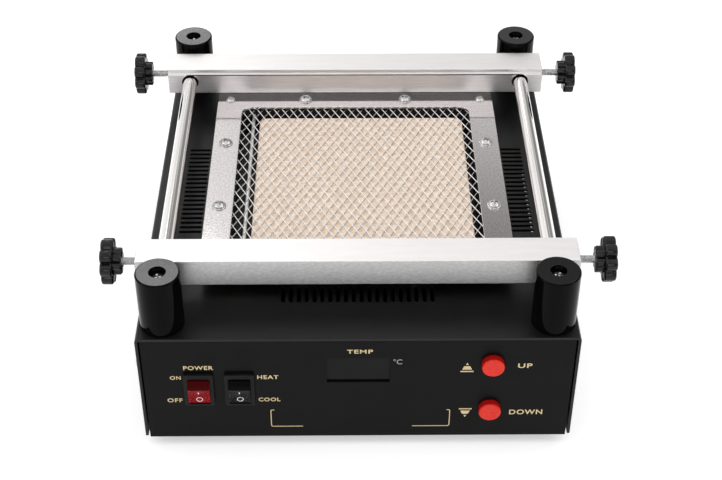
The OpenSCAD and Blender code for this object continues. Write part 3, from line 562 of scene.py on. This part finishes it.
def button_finish():
    """Red plastic, with painted shade: the cap's side is a darker red than its face."""
    look = Look("red_plastic", specular=0.25)
    out = look.math("MULTIPLY", look.axis("Normal", 1), -1.0)
    face = look.ramp(look.noise(3, 3), [(0.3, (0.86, 0.030, 0.016)), (0.7, (0.92, 0.038, 0.020))])
    # painted shade: faces that don't point to the front are darkened
    look.to("Base Color", look.mix(look.ramp(out, [(0.3, 0.0), (0.9, 1.0)]), (0.40, 0.006, 0.004), face))
    look.to("Roughness", look.ramp(look.noise(2, 3), [(0.3, 0.22), (0.7, 0.32)]))
    look.bump(look.noise(0.4, 2), 0.004)
    return look.mat


def rocker_finish(name, end, face, fleck):
    """Rocker plastic: painted shade on faces that point up, such as the top rounded end; grained and
    flecked on its face.
    """
    look = Look(name, specular=0.035)
    painted_top_shade_mask = look.ramp(look.axis("Normal", 2), [(0.05, 0.0), (0.25, 1.0)])
    grain = look.ramp(look.noise(0.7, 1), [(0.5, face), (0.7, fleck)])
    # painted shade: the end colour goes on faces that point up
    look.to("Base Color", look.mix(painted_top_shade_mask, grain, end))
    look.to("Roughness", look.ramp(look.noise(0.8, 2), [(0.3, 0.25), (0.7, 0.4)]))
    look.bump(look.noise(0.5, 2), 0.03)
    return look.mat


FINISH = make_finishes()


# Case

def make_case():
    dress("cover_sheet", "top_cover", FINISH["paint"], 0.2)
    dress("chassis_sheet", "chassis", FINISH["panel"], 0.25)
    hole, well, seat, high = 1.7, 3.8, 3, 6
    profile = [(hole, high), (hole, seat), (well, seat), (well, 0.4), (well + 0.4, 0)]
    profile += [(6.4, 0), (6.9, 0.3), (7.2, 0.9), (7.9, 5.4), (7.8, high)]
    foot = lathe(profile, 48, closed=True)
    feet = [moved(foot, p) for p in corner_spots("rubber_feet", FOOT_D / 2, 0)]
    piece("feet", joined(feet), FINISH["rubber"], replaces=["rubber_feet"])


def corner_spots(node, reach, z):
    """Four centres of a node's corner pieces, which reach this far out from them."""
    hi = span(node)[1]
    return [(x * (hi[0] - reach), y * (hi[1] - reach), z) for _, x, y in CORNERS]


# Fasteners

def cross_cutter(head_d, head_h):
    """Tapered cross that cuts a head's recess; levels are (height, half width, half length)."""
    levels = [(head_h + 0.3, 0.075, 0.31), (head_h - 0.05 * head_d, 0.07, 0.29)]
    levels.append((head_h - 0.3 * head_d, 0.04, 0.1))
    rows = []
    for z, width, length in levels:
        w, l = width * head_d, length * head_d
        cross = [(l, -w), (l, w), (w, w), (w, l), (-w, l), (-w, w)]
        cross += [(-x, -y) for x, y in cross]
        rows.append(np.array([(x, y, z) for x, y in cross]))
    return rings(rows[::-1])


def screw_shape(d, head_d, head_h, length):
    """Cross-head screw along +Z with its head's seat at z = 0."""
    dome, point, edge = 0.7 * head_d, 0.4, 0.25
    profile = [(0, -length), (d / 2 - point, -length), (d / 2, point - length), (d / 2, 0)]
    profile += [(head_d / 2 - edge, 0), (head_d / 2, edge)]
    rim = head_h - dome + math.sqrt(dome * dome - head_d * head_d / 4)
    profile += [(head_d / 2, rim - edge), (head_d / 2 - 0.06, rim)]
    for r in np.linspace(head_d / 2 - edge, 0, 9):
        profile.append((r, head_h - dome + math.sqrt(dome * dome - r * r)))
    return carved(lathe(profile, 48), cross_cutter(head_d, head_h))


def screws(name, node, spots, axis, size, length):
    """Cross-head screws at spots; axis is one direction, or one for each spot."""
    shape = screw_shape(*size, length)
    axes = axis if isinstance(axis, list) else [axis] * len(spots)
    made = [moved(shape, p, a, 17 + 37 * i) for i, (p, a) in enumerate(zip(spots, axes))]
    piece(name, joined(made), FINISH["zinc"], replaces=[node], sharp=32)


def make_fasteners():
    up = (0, 0, 1)
    ring, half = span("frame_rivets")[1][0] - RIVET_D / 2, FRAME_PITCH / 2
    signs = [(s, t) for s in (-1, 1) for t in (-1, 1)]
    around = [(s * ring, t * half) for s, t in signs] + [(t * half, s * ring) for s, t in signs]
    seat, tip = span("frame_screws")[1][2] - FRAME_HEAD[2], span("frame_screws")[0][2]
    spots = [(x, HEATER_Y + y, seat) for x, y in around]
    screws("frame_screw_heads", "frame_screws", spots, up, FRAME_HEAD, seat - tip)
    profile = [(2.2, 0), (3.6, 0), (3.8, 0.15), (3.8, 0.45), (3.6, 0.6), (2.3, 0.6), (2.2, 0.5)]
    washer = lathe(profile, 48, closed=True)
    washers = joined([moved(washer, (x, HEATER_Y + y, PLATE_Z)) for x, y in around])
    piece("frame_washer_rings", washers, FINISH["zinc"], replaces=["frame_washers"])
    shank, depth, rim_r, rim_h, dome_h = 1.5, 4.2, 2.62, 0.45, 1.15
    rivet = [(0, -depth), (shank, -depth), (shank, 0), (2.6, 0), (RIVET_D / 2, 0.12), (rim_r, rim_h)]
    bend = np.linspace(0.2, math.pi / 2, 8)
    rivet += [(rim_r * math.cos(a), rim_h + dome_h * math.sin(a)) for a in bend]
    rivet[-1] = (0, rivet[-1][1])
    spots = [(s * ring, HEATER_Y + t * ring, PLATE_Z) for s, t in signs]
    rivets = joined([moved(lathe(rivet, 40), p) for p in spots])
    piece("frame_rivet_domes", rivets, FINISH["zinc"], replaces=["frame_rivets"])
    post = span("post_screws")[1][2] - M4[2]
    spots = [(*middle(name + "_post")[:2], post) for name, _, _ in CORNERS]
    screws("post_screw_heads", "post_screws", spots, up, M4, post - span("post_screws")[0][2])
    side = span("side_screws")[1]
    spots = [(x * (side[0] - M4[2]), y * (side[1] - M4[1] / 2), side[2] - M4[1] / 2) for _, x, y in CORNERS]
    screws("side_screw_heads", "side_screws", spots, [(x, 0, 0) for _, x, _ in CORNERS], M4, SIDE_SCREW_L)
    spots = corner_spots("foot_screws", M3[1] / 2, span("foot_screws")[0][2] + M3[2])
    screws("foot_screw_heads", "foot_screws", spots, (0, 0, -1), M3, FOOT_SCREW_L)
    seat = span("inlet_screws")[1][1] - M3[2]
    spots = [(INLET_X + s * INLET_HOLE, seat, INLET_Z) for s in (-1, 1)]
    screws("inlet_screw_heads", "inlet_screws", spots, (0, 1, 0), M3, INLET_SCREW_L)
    seat = span("fan_screws")[1][1] - FAN_SCREW[2]
    spots = [(FAN_X + x * FAN_HOLE, seat, FAN_Z + y * FAN_HOLE) for _, x, y in CORNERS]
    screws("fan_screw_heads", "fan_screws", spots, (0, 1, 0), FAN_SCREW, seat - span("fan_screws")[0][1])


# Heater

def guard_wires(sign):
    """Straight wires of one direction, trimmed to the guard's square, in their own layer."""
    made = []
    count = int(GUARD_HALF * (1 + GUARD_SLOPE) / GUARD_CELL)
    z = middle("guard_mesh")[2] - sign * LAYER
    for i in range(-count, count + 1):
        low = max(-GUARD_HALF, (-GUARD_HALF - i * GUARD_CELL) / GUARD_SLOPE)
        high = min(GUARD_HALF, (GUARD_HALF - i * GUARD_CELL) / GUARD_SLOPE)
        if high - low <= 2 * GUARD_CELL:
            continue
        along = (low, (low + high) / 2, high)
        path = [(sign * (i * GUARD_CELL + GUARD_SLOPE * y), HEATER_Y + y, z) for y in along]
        made.append(tube(path, WIRE_R, 10))
    return joined(made)


def ceramic_shape():
    """Plate with a rounded rim and shallow wavy rows in its top."""
    lo, hi = span("ceramic_plate")
    half, low, high = (hi[0] - lo[0]) / 2, lo[2], hi[2]
    edge, lower_edge, wave_depth = 1.2, 0.6, 0.28
    corners = fillet([(-half, -half), (half, -half), (half, half), (-half, half)], 5, 8)
    outline = []
    for a, b in zip(corners, np.roll(corners, -1, 0)):
        n = max(1, int(np.linalg.norm(b - a) / 1.5))
        outline += [a + (b - a) * k / n for k in range(n)]
    outline = np.array(outline)
    centre = (lo[:2] + hi[:2]) / 2

    def relief(xy):
        wave = xy[:, 1] / CERAMIC_ROW * TAU + 1.3 * np.sin(xy[:, 0] / 5.5) + 0.8 * np.sin(xy[:, 0] / 13 + 1)
        return -wave_depth * (0.5 + 0.5 * np.sin(wave)) ** 2

    def level(ring, z):
        return np.column_stack([ring + centre, np.full(len(ring), z)])

    rows = [level(inset(outline, lower_edge), low), level(outline, low + lower_edge)]
    for a in np.linspace(0, math.pi / 2, 5):
        rows.append(level(inset(outline, edge * (1 - math.cos(a))), high - edge * (1 - math.sin(a))))
    last = inset(outline, edge)
    for s in np.linspace(0.985, 0.02, 60):
        fade = min(1.0, (1 - s) * 25)
        rows.append(np.column_stack([last * s + centre, high + relief(last * s) * fade]))
    return rings(rows)


def make_heater():
    dress("frame_ring", "frame_plate", FINISH["steel"], 0.22)
    # the two wire directions get the painted lit and painted shaded copies of one steel
    piece("guard_wires_right", guard_wires(1), FINISH["wire_dark"],
          replaces=["guard_mesh"], sharp=60)
    piece("guard_wires_left", guard_wires(-1), FINISH["wire_light"],
          replaces=["guard_mesh"], sharp=60)
    piece("ceramic_slab", ceramic_shape(), FINISH["ceramic"],
          replaces=["ceramic_plate"], sharp=60)
    lo, hi = span("temperature_probe")
    x, _, z = middle("temperature_probe")
    length = hi[1] - lo[1]
    profile = [(0, 0), (0.6, 0.1), (0.95, 0.5), (1, 1), (1, 9), (1.4, 9), (1.6, 9.2), (1.6, 11.8)]
    profile += [(1.4, 12), (1, 12), (1, length - 1), (0.8, length - 0.3), (0, length)]
    rod = moved(lathe(profile, 24), (x, lo[1], z), (0, 1, 0))
    piece("probe_rod", rod, FINISH["wire_light"], replaces=["temperature_probe"])
    keep("heater_tray", FINISH["tray"])
    keep("insulation_board", FINISH["fibre"])
    keep("heating_strip", FINISH["strip"])
    keep("frame_nuts", FINISH["zinc"])
    keep("frame_spacers", FINISH["zinc"])
    keep("post_nuts", FINISH["zinc"])


# Posts, rods, bars and clamps

def knob_radius(angle, d, lobe, count):
    """Distance to a lobed outline, with soft valleys."""
    c, core = d / 2 - lobe, (d - 1.5 * lobe) / 2
    off = (angle + math.pi / count) % (TAU / count) - math.pi / count
    under = lobe * lobe - (c * np.sin(off)) ** 2
    r = np.where(under > 0, c * np.cos(off) + np.sqrt(np.maximum(under, 0)), core * 0.8)
    soft = 3
    blend = np.log(np.exp(soft * r) + np.exp(soft * core)) / soft
    return blend - math.log(2) / soft * np.exp(-4 * (r - core) ** 2)


def knob_shape():
    """Star knob along +Z with its hub at z = 0."""
    count, top, rim, face_r = 160, 9.8, 1.5, 7.5
    a = np.arange(count) * TAU / count
    hub, disc = knob_radius(a, HUB_D, 2, LOBES), knob_radius(a, KNOB_D, 3.4, LOBES)
    disc = disc * (KNOB_D / 2) / disc.max()
    steps = [(0, hub - 0.6), (0.12, hub - 0.2), (0.5, hub), (3.4, hub), (3.8, hub + 0.4)]
    steps += [(3.82, disc - 1.1), (3.95, disc - 0.5), (4.25, disc - 0.15), (4.7, disc)]
    steps += [(8.7, disc), (9.2, disc - 0.12), (9.55, disc - 0.42), (9.75, disc - 0.9), (top, disc - rim)]
    face = disc - rim
    for s in (0.8, 0.62, 0.45, 0.3, 0.15, 0.04):
        round_ring = np.full(count, face_r * s)
        blend = min(1.0, (1 - s) * 2.2)
        height = top + 0.8 * (1 - s) ** 0.7 * (1 - 0.25 * s)
        steps.append((height, face * s * (1 - blend) + round_ring * blend))
    rows = [np.column_stack([r * np.cos(a), r * np.sin(a), np.full(len(a), z)]) for z, r in steps]
    return rings(rows)


def make_clamps():
    knob = knob_shape()
    for i, (name, x, y) in enumerate(CORNERS):
        body, inner = name + "_clamp", 1 if x < 0 else 0
        at = middle(name + "_knob")
        start = (span(name + "_knob")[inner][0], at[1], at[2])
        star = moved(knob, start, (x, 0, 0), 9 + 14 * i)
        piece(name + "_knob_star", star, FINISH["knob"], body, [name + "_knob"], sharp=42)
        lo, hi = span(name + "_clamp_screw")
        shaft = thread(hi[2] - lo[2], THREAD_PITCH, hi[0] - lo[0], THREAD_DEPTH)
        tip = ((lo, hi)[inner][0], at[1], at[2])
        piece(name + "_clamp_thread", moved(shaft, tip, (x, 0, 0)), FINISH["zinc"], body,
              [name + "_clamp_screw"], sharp=70)


def make_holder():
    for name, _, _ in CORNERS:
        post = dress(name + "_post_turned", name + "_post", FINISH["post"], 0.3, 3)
        post.data.materials.append(FINISH["post_top"])
        for face in post.data.polygons:
            # flat tops take the finish with painted light
            face.material_index = int(face.normal.z > 0.95)
    for node in ("left_rod", "right_rod"):
        lo, hi = span(node)
        r, length = (hi[0] - lo[0]) / 2, hi[1] - lo[1]
        edge = 0.5
        profile = [(0, 0), (r - edge, 0), (r, edge), (r, length - edge), (r - edge, length), (0, length)]
        rod = lathe(profile, 96)
        start = (middle(node)[0], lo[1], ROD_Z)
        rod = moved(rod, start, (0, 1, 0))
        piece(node + "_ground", rod, FINISH["rod"], replaces=[node])
    for end in ("front", "rear"):
        dress(end + "_bar_extrusion", end + "_bar", FINISH["bar"], 0.35, 3, end + "_bar")
    make_clamps()


# Front controls

def rocker_face(v):
    """Depth of the rocker's hollow face at a height on it."""
    out, hollow, centre, half = 5.55, 0.5, -0.7, 5.6
    return -out + hollow * (1 - ((v - centre) / half) ** 2)


def make_rocker(key):
    """Paddle with round ends about its pivot, and its two marks."""
    tilt = math.radians(SWITCH_TILT)
    x0 = middle(key + "_switch")[0]
    upper, lower, top_end, low_end, back, half = 4.87, -6.3, 7.3, -8.3, 4, 5.5
    outline = [(rocker_face(v), v) for v in np.linspace(upper, lower, 21)]
    ends = [((rocker_face(lower), lower), (0, low_end)), ((0, top_end), (rocker_face(upper), upper))]
    for start, stop in ends:
        r0, r1 = math.hypot(*start), math.hypot(*stop)
        a0, a1 = math.atan2(start[1], -start[0]), math.atan2(stop[1], -stop[0])
        arc = [(r0 + (r1 - r0) * t, a0 + (a1 - a0) * t) for t in np.linspace(0, 1, 10)]
        outline += [(-r * math.cos(a), r * math.sin(a)) for r, a in (arc[1:] if start[1] < 0 else arc[:-1])]
        if start[1] < 0:
            outline += [(back, -back), (back, back)]
    paddle = prism(np.array(outline), -half, half, 0.4, 4)
    pin_r, pin_half, edge = 1.2, 6, 0.2
    pin = [(0, -pin_half), (pin_r - edge, -pin_half), (pin_r, edge - pin_half)]
    pin += [(r, -h) for r, h in reversed(pin)]
    verts, faces = joined([paddle, lathe(pin, 32)])

    def at(points):
        """The rocker's own (across, depth, height) turned and moved to its place."""
        x, y, v = points[:, 0], points[:, 1], points[:, 2]
        c, s = math.cos(tilt), math.sin(tilt)
        return np.column_stack([x0 + x, FRONT_Y + PIVOT_IN + y * c - v * s, SWITCH_Z + y * s + v * c])

    def on_face(flat, out):
        return at(np.column_stack([flat[:, 0], rocker_face(flat[:, 1]) - out, flat[:, 1]]))

    body = key + "_rocker"
    piece(body + "_paddle", (at(verts[:, [2, 0, 1]]), faces), FINISH[body], body, [body], sharp=40)
    o_height, i_height, lift, sink = -3.7, 1.9, 0.04, -0.05
    a = np.arange(40) * TAU / 40
    inner, outer = (np.column_stack([0.2 + r * np.cos(a), o_height + r * np.sin(a)]) for r in (1.3, 1.72))
    ring = hoop([on_face(inner, sink), on_face(inner, lift), on_face(outer, lift), on_face(outer, sink)])
    low, high = i_height - 0.9, i_height + 0.9
    stroke = fillet([(-0.3, low), (0.3, low), (0.3, high), (-0.3, high)], 0.1, 2)
    marks = joined([ring, rings([on_face(stroke, sink), on_face(stroke, lift)])])
    piece(body + "_marks", marks, FINISH["white"], body)


def make_lip(key):
    """Deep upper border inside the switch's bezel."""
    x0, front = middle(key + "_switch")[0], span(key + "_switch")[0][1]
    half, low, high, depth, proud = 5.9, 7.6, 9.6, 4, 0.02
    outline = fillet([(-half, low), (half, low), (half, high), (-half, high)], [0.5, 0.5, 0, 0], 3)
    verts, faces = prism(outline, 0, depth, 0.25)
    flat = np.column_stack([x0 + verts[:, 0], front - proud + verts[:, 2], SWITCH_Z + verts[:, 1]])
    piece(key + "_switch_lip", (flat, faces), FINISH["black"])


def words(name, text, box, finish="gold", bold=0.02, spread=1.14):
    """Flat printed words that fill box = (x0, x1, z0, z1) on the front panel."""
    data = bpy.data.curves.new("words", "FONT")
    data.body, data.size, data.offset, data.extrude = text, 1.0, bold, 0.5
    data.space_character = spread
    obj = bpy.data.objects.new("words", data)
    bpy.context.scene.collection.objects.link(obj)
    verts, faces = mesh_shape(obj)
    low, high = verts.min(0), verts.max(0)
    share = (verts - low) / (high - low)
    x0, x1, z0, z1 = box
    flat = np.column_stack([x0 + share[:, 0] * (x1 - x0), FRONT_Y - PRINT_T * share[:, 2],
                            z0 + share[:, 1] * (z1 - z0)])
    piece(name, (flat, faces), FINISH[finish], sharp=30)


def printed(outline):
    """Flat print of an outline in X and Z on the front panel."""
    outline = np.array(outline, float)
    depths = [np.full(len(outline), FRONT_Y - d) for d in (0.0, PRINT_T)]
    return rings([np.column_stack([outline[:, 0], y, outline[:, 1]]) for y in depths])


def arrow(x, z, way):
    """Stacked arrow that points up (1) or down (-1): a tip, a bar and a thin base line."""
    made = []
    bands = [(0.0, 0.7, 1.0, 0.76), (1.5, 2.5, 0.62, 0.26), (3.3, 3.3, 0.12, 0.0)]
    for narrow, wide, near, far in bands:
        top, bottom = (z + way * ARROW_H * (share - 0.5) for share in (near, far))
        outline = [(x - wide, bottom), (x + wide, bottom), (x + narrow, top)]
        made.append(printed(outline + [(x - narrow, top)] if narrow else outline))
    return joined(made)


def pinstripe(x_end, x_side, z_top, z_low, hook):
    """Thin bracket line: a short hook, a side and a long foot."""
    s = 1 if x_end > x_side else -1
    path = [(x_side + s * hook, z_top), (x_side, z_top), (x_side, z_low), (x_end, z_low)]
    t = 0.45
    back = [(x_end, z_low + t), (x_side + s * t, z_low + t), (x_side + s * t, z_top - t)]
    outer = path + back + [(x_side + s * hook, z_top - t)]
    return printed(fillet(outer, [0, 1.2, 1.2, 0, 0, 0.8, 0.8, 0], 4))


def button_shape():
    """Button along its press: dished cap, flange behind the panel and stem."""
    cap_r, front, edge, flange_r, near, far = 5.8, -3.8, 1.2, 7.0, 1.25, 2.45
    stem_r, end, end_edge = 2.0, 6.7, 0.3
    bend = np.linspace(0.1, math.pi / 2, 9)
    profile = [(0, -3.5), (2.4, -3.56), (4.0, -3.74), (4.5, front)]
    profile += [(cap_r - edge + edge * math.sin(a), front + edge - edge * math.cos(a)) for a in bend]
    profile += [(cap_r, near), (flange_r, near), (flange_r, far), (stem_r, far)]
    profile += [(stem_r, end - end_edge), (stem_r - end_edge, end), (0, end)]
    return lathe(profile, 72)


def make_prints():
    for name, text, box, *style in PRINTS:
        words("print_" + name, text, box, *style)
    piece("print_arrow_up", arrow(54.7, 55.8, 1), FINISH["gold"])
    piece("print_arrow_down", arrow(55.1, 23.6, -1), FINISH["gold"])
    left = pinstripe(x_end=-28.6, x_side=-45.1, z_top=26.5, z_low=14.1, hook=2.0)
    right = pinstripe(x_end=28.0, x_side=47.4, z_top=26.1, z_low=13.9, hook=2.0)
    piece("print_pinstripes", joined([left, right]), FINISH["gold"])


def make_panel():
    for key in ("power", "mode"):
        dress(key + "_switch_bezel", key + "_switch", FINISH["black"], 0.3, 2)
        make_lip(key)
        make_rocker(key)
    button = button_shape()
    for body in ("up_button", "down_button"):
        x, _, z = middle(body)
        cap = moved(button, (x, FRONT_Y, z), (0, 1, 0))
        piece(body + "_cap", cap, FINISH["red"], body, [body], sharp=45)
    dress("display_lens", "display_window", FINISH["lens"], 0.15)
    keep("display_module", FINISH["black"])
    keep("key_switches", FINISH["black"])
    make_prints()


# Rear wall and inside

def make_inlet():
    dress("inlet_body", "power_inlet", FINISH["black"], 0.2)
    start_y, length, half_w, half_h, edge = 109, 11.6, 1.05, 2.05, 0.7
    blade = fillet([(-half_w, -half_h), (half_w, -half_h), (half_w, half_h), (-half_w, half_h)], 0.3, 3)
    pin = prism(blade, 0, length, edge, 4)
    spots = [(INLET_X + x, start_y, INLET_Z + z) for x, z in ((-7, -2), (0, 2), (7, -2))]
    piece("inlet_pins", joined([moved(pin, p, (0, 1, 0)) for p in spots]), FINISH["brass"])


def make_fan_guard():
    """Rings of wire on four bent legs, with an eye for each screw."""
    wire_r, ring_out, leg_out, bend_r, leg_end, count = 1.0, 5, 3.4, 1.9, 29.2, 96
    wires = []
    a = np.arange(count) * TAU / count
    for r in (7, 14, 21, 28):
        out = np.full(count, REAR_Y + ring_out)
        ring = np.column_stack([FAN_X + r * np.cos(a), out, FAN_Z + r * np.sin(a)])
        wires.append(tube(ring, wire_r, 10, closed=True, up=(0, 1, 0)))
    leg = [(d, leg_out) for d in (0.0, 8, 20, leg_end)]
    bend = np.linspace(0.25, math.pi / 2, 6)
    leg += [(leg_end + bend_r * math.sin(t), leg_out - bend_r + bend_r * math.cos(t)) for t in bend]
    leg.append((leg_end + bend_r, 0.9))
    eye = lathe([(2.2, 0), (4.4, 0), (4.7, 0.3), (4.7, 1.3), (4.4, 1.6), (2.2, 1.6)], 40, closed=True)
    reach = FAN_HOLE * math.sqrt(2)
    for k in range(4):
        c, s = math.cos(TAU / 8 + k * TAU / 4), math.sin(TAU / 8 + k * TAU / 4)
        path = [(FAN_X + c * d, REAR_Y + h, FAN_Z + s * d) for d, h in leg]
        wires.append(tube(path, wire_r, 10, up=(-s, 0, c)))
        wires.append(moved(eye, (FAN_X + c * reach, REAR_Y, FAN_Z + s * reach), (0, 1, 0)))
    piece("fan_guard_wires", joined(wires), FINISH["zinc"],
          replaces=["fan_guard"], sharp=50)


def make_rear():
    make_inlet()
    make_fan_guard()
    dress("fan_housing", "fan_frame", FINISH["black"], 0.3)
    dress("fan_impeller", "fan_rotor", FINISH["black"], 0.2, 2, "fan_rotor")
    for node in ("front_board", "power_board"):
        keep(node, FINISH["board"])
        keep(node + "_studs", FINISH["zinc"])
    keep("transformer", FINISH["iron"])
    keep("heat_sink", FINISH["sink"])


# Stage

def white_to_view(graph):
    """1 for rays from the camera, mirrors and glass, else 0."""
    path = graph.nodes.new("ShaderNodeLightPath")
    seen = graph.math("MAXIMUM", path.outputs["Is Camera Ray"], path.outputs["Is Glossy Ray"])
    return graph.math("MAXIMUM", seen, path.outputs["Is Transmission Ray"])


def make_world():
    """White to the camera. Mirrors see a soft studio: white low down, then a band and a strip that fade
    to the right, and a dark ceiling behind the top box."""
    world = bpy.data.worlds.new("studio")
    bpy.context.scene.world = world
    world.use_nodes = True
    graph = Graph(world.node_tree)
    up = graph.axis("Generated", 2)
    across = graph.math("MULTIPLY_ADD", graph.axis("Generated", 0), 0.5, 0.5)
    band = graph.ramp(across, [(0.25, 1.0), (0.36, 0.8), (0.57, 0.84), (0.66, 0.26)])
    left = graph.ramp(up, [(0.56, 0.88), (0.62, 1.0), (0.7, 0.94)])
    right = graph.ramp(up, [(0.56, 0.6), (0.59, 0.42), (0.625, 0.24), (0.645, 0.3), (0.69, 1.0)])
    strip = graph.mix(graph.ramp(across, [(0.455, 0.0), (0.53, 1.0)]), left, right)
    low = graph.mix(graph.ramp(up, [(0.1, 0.0), (0.2, 1.0)]), 1.0, band)
    sky = graph.mix(graph.ramp(up, [(0.538, 0.0), (0.552, 1.0)]), low, strip)
    ceiling = graph.ramp(up, [(0.76, 1.0), (0.86, 0.04)])
    sky = graph.math("MULTIPLY", sky, ceiling)
    lit = graph.nodes["Background"]
    lit.inputs["Color"].default_value = (1, 1, 1, 1)
    lit.inputs["Strength"].default_value = 0.42
    seen = graph.nodes.new("ShaderNodeBackground")
    direct = graph.nodes.new("ShaderNodeLightPath").outputs["Is Camera Ray"]
    graph.links.new(graph.mix(direct, sky, 1.0), seen.inputs["Color"])
    mix = graph.nodes.new("ShaderNodeMixShader")
    graph.links.new(white_to_view(graph), mix.inputs[0])
    graph.links.new(lit.outputs[0], mix.inputs[1])
    graph.links.new(seen.outputs[0], mix.inputs[2])
    graph.links.new(mix.outputs[0], graph.nodes["World Output"].inputs["Surface"])


def make_floor():
    """Pale floor that stays white to the camera far out, where the lamps don't reach."""
    mesh = bpy.data.meshes.new("floor")
    size = 4.0
    corners = [(-size, -size, 0), (size, -size, 0), (size, size, 0), (-size, size, 0)]
    mesh.from_pydata(corners, [], [(0, 1, 2, 3)])
    floor = bpy.data.objects.new("floor", mesh)
    bpy.context.scene.collection.objects.link(floor)
    mat = bpy.data.materials.new("pale_floor")
    mat.use_nodes = True
    graph = Graph(mat.node_tree)
    bsdf = graph.nodes["Principled BSDF"]
    bsdf.inputs["Base Color"].default_value = (0.8, 0.8, 0.8, 1)
    bsdf.inputs["Roughness"].default_value = 0.9
    bsdf.inputs["Specular IOR Level"].default_value = 0.0
    bsdf.inputs["Emission Color"].default_value = (1, 1, 1, 1)
    x, y = graph.axis("Object", 0), graph.axis("Object", 1)
    away = graph.math("MULTIPLY_ADD", x, x, graph.math("MULTIPLY", y, y))
    glow = graph.ramp(graph.math("DIVIDE", away, size * size), [(0.02, 0.45), (0.3, 0.64)])
    graph.links.new(graph.math("MULTIPLY", white_to_view(graph), glow), bsdf.inputs["Emission Strength"])
    mesh.materials.append(mat)


def softbox(name, place, aim, size, power):
    """Area lamp; places and sizes in metres, power in watts."""
    light = bpy.data.lights.new(name, "AREA")
    light.shape, light.size, light.size_y, light.energy = "RECTANGLE", size[0], size[1], power
    obj = bpy.data.objects.new(name, light)
    obj.location = place
    obj.rotation_euler = (Vector(aim) - Vector(place)).to_track_quat("-Z", "Y").to_euler()
    bpy.context.scene.collection.objects.link(obj)


def make_camera():
    """Camera fitted to the photo's straight edges."""
    eye = Vector((-5.892, -646.815, 558.002)) * MM
    focal_px, width_px = 1441.44, 722
    pitch, yaw, roll = (math.radians(v) for v in (38.721, 0.765, 0.245))
    ahead = Vector((math.sin(yaw) * math.cos(pitch), math.cos(yaw) * math.cos(pitch), -math.sin(pitch)))
    right = ahead.cross(Vector((0, 0, 1))).normalized()
    up = right.cross(ahead)
    x_axis = right * math.cos(roll) + up * math.sin(roll)
    y_axis = up * math.cos(roll) - right * math.sin(roll)
    data = bpy.data.cameras.new("camera")
    data.sensor_fit, data.sensor_width = "HORIZONTAL", 36.0
    data.lens = focal_px / width_px * data.sensor_width
    camera = bpy.data.objects.new("camera", data)
    turn = Matrix((x_axis, y_axis, -ahead)).transposed().to_4x4()
    camera.matrix_world = Matrix.Translation(eye) @ turn
    bpy.context.scene.collection.objects.link(camera)
    bpy.context.scene.camera = camera


make_camera()
make_case()
make_fasteners()
make_heater()
make_holder()
make_panel()
make_rear()
make_world()
make_floor()
softbox("top_box", (0.0, 0.0, 1.2), (0, 0, 0.05), (2.3, 1.5), 12.0)
softbox("left_box", (-1.0, -0.4, 0.6), (0, 0, 0.08), (0.3, 0.9), 2.2)
softbox("right_box", (1.0, -0.4, 0.6), (0, 0, 0.08), (0.3, 0.9), 2.0)
softbox("front_box", (0.0, -1.3, 0.7), (0, 0, 0.05), (0.9, 0.4), 2.0)
softbox("rear_left_box", (-0.28, 0.9, 0.985), (-0.1, -0.11, 0.11), (0.2, 0.13), 0.425)
softbox("low_left_box", (-0.2, 0.9, 0.57), (-0.1, 0.11, 0.11), (0.08, 0.06), 0.07)
bpy.context.scene.view_settings.view_transform = "Standard"
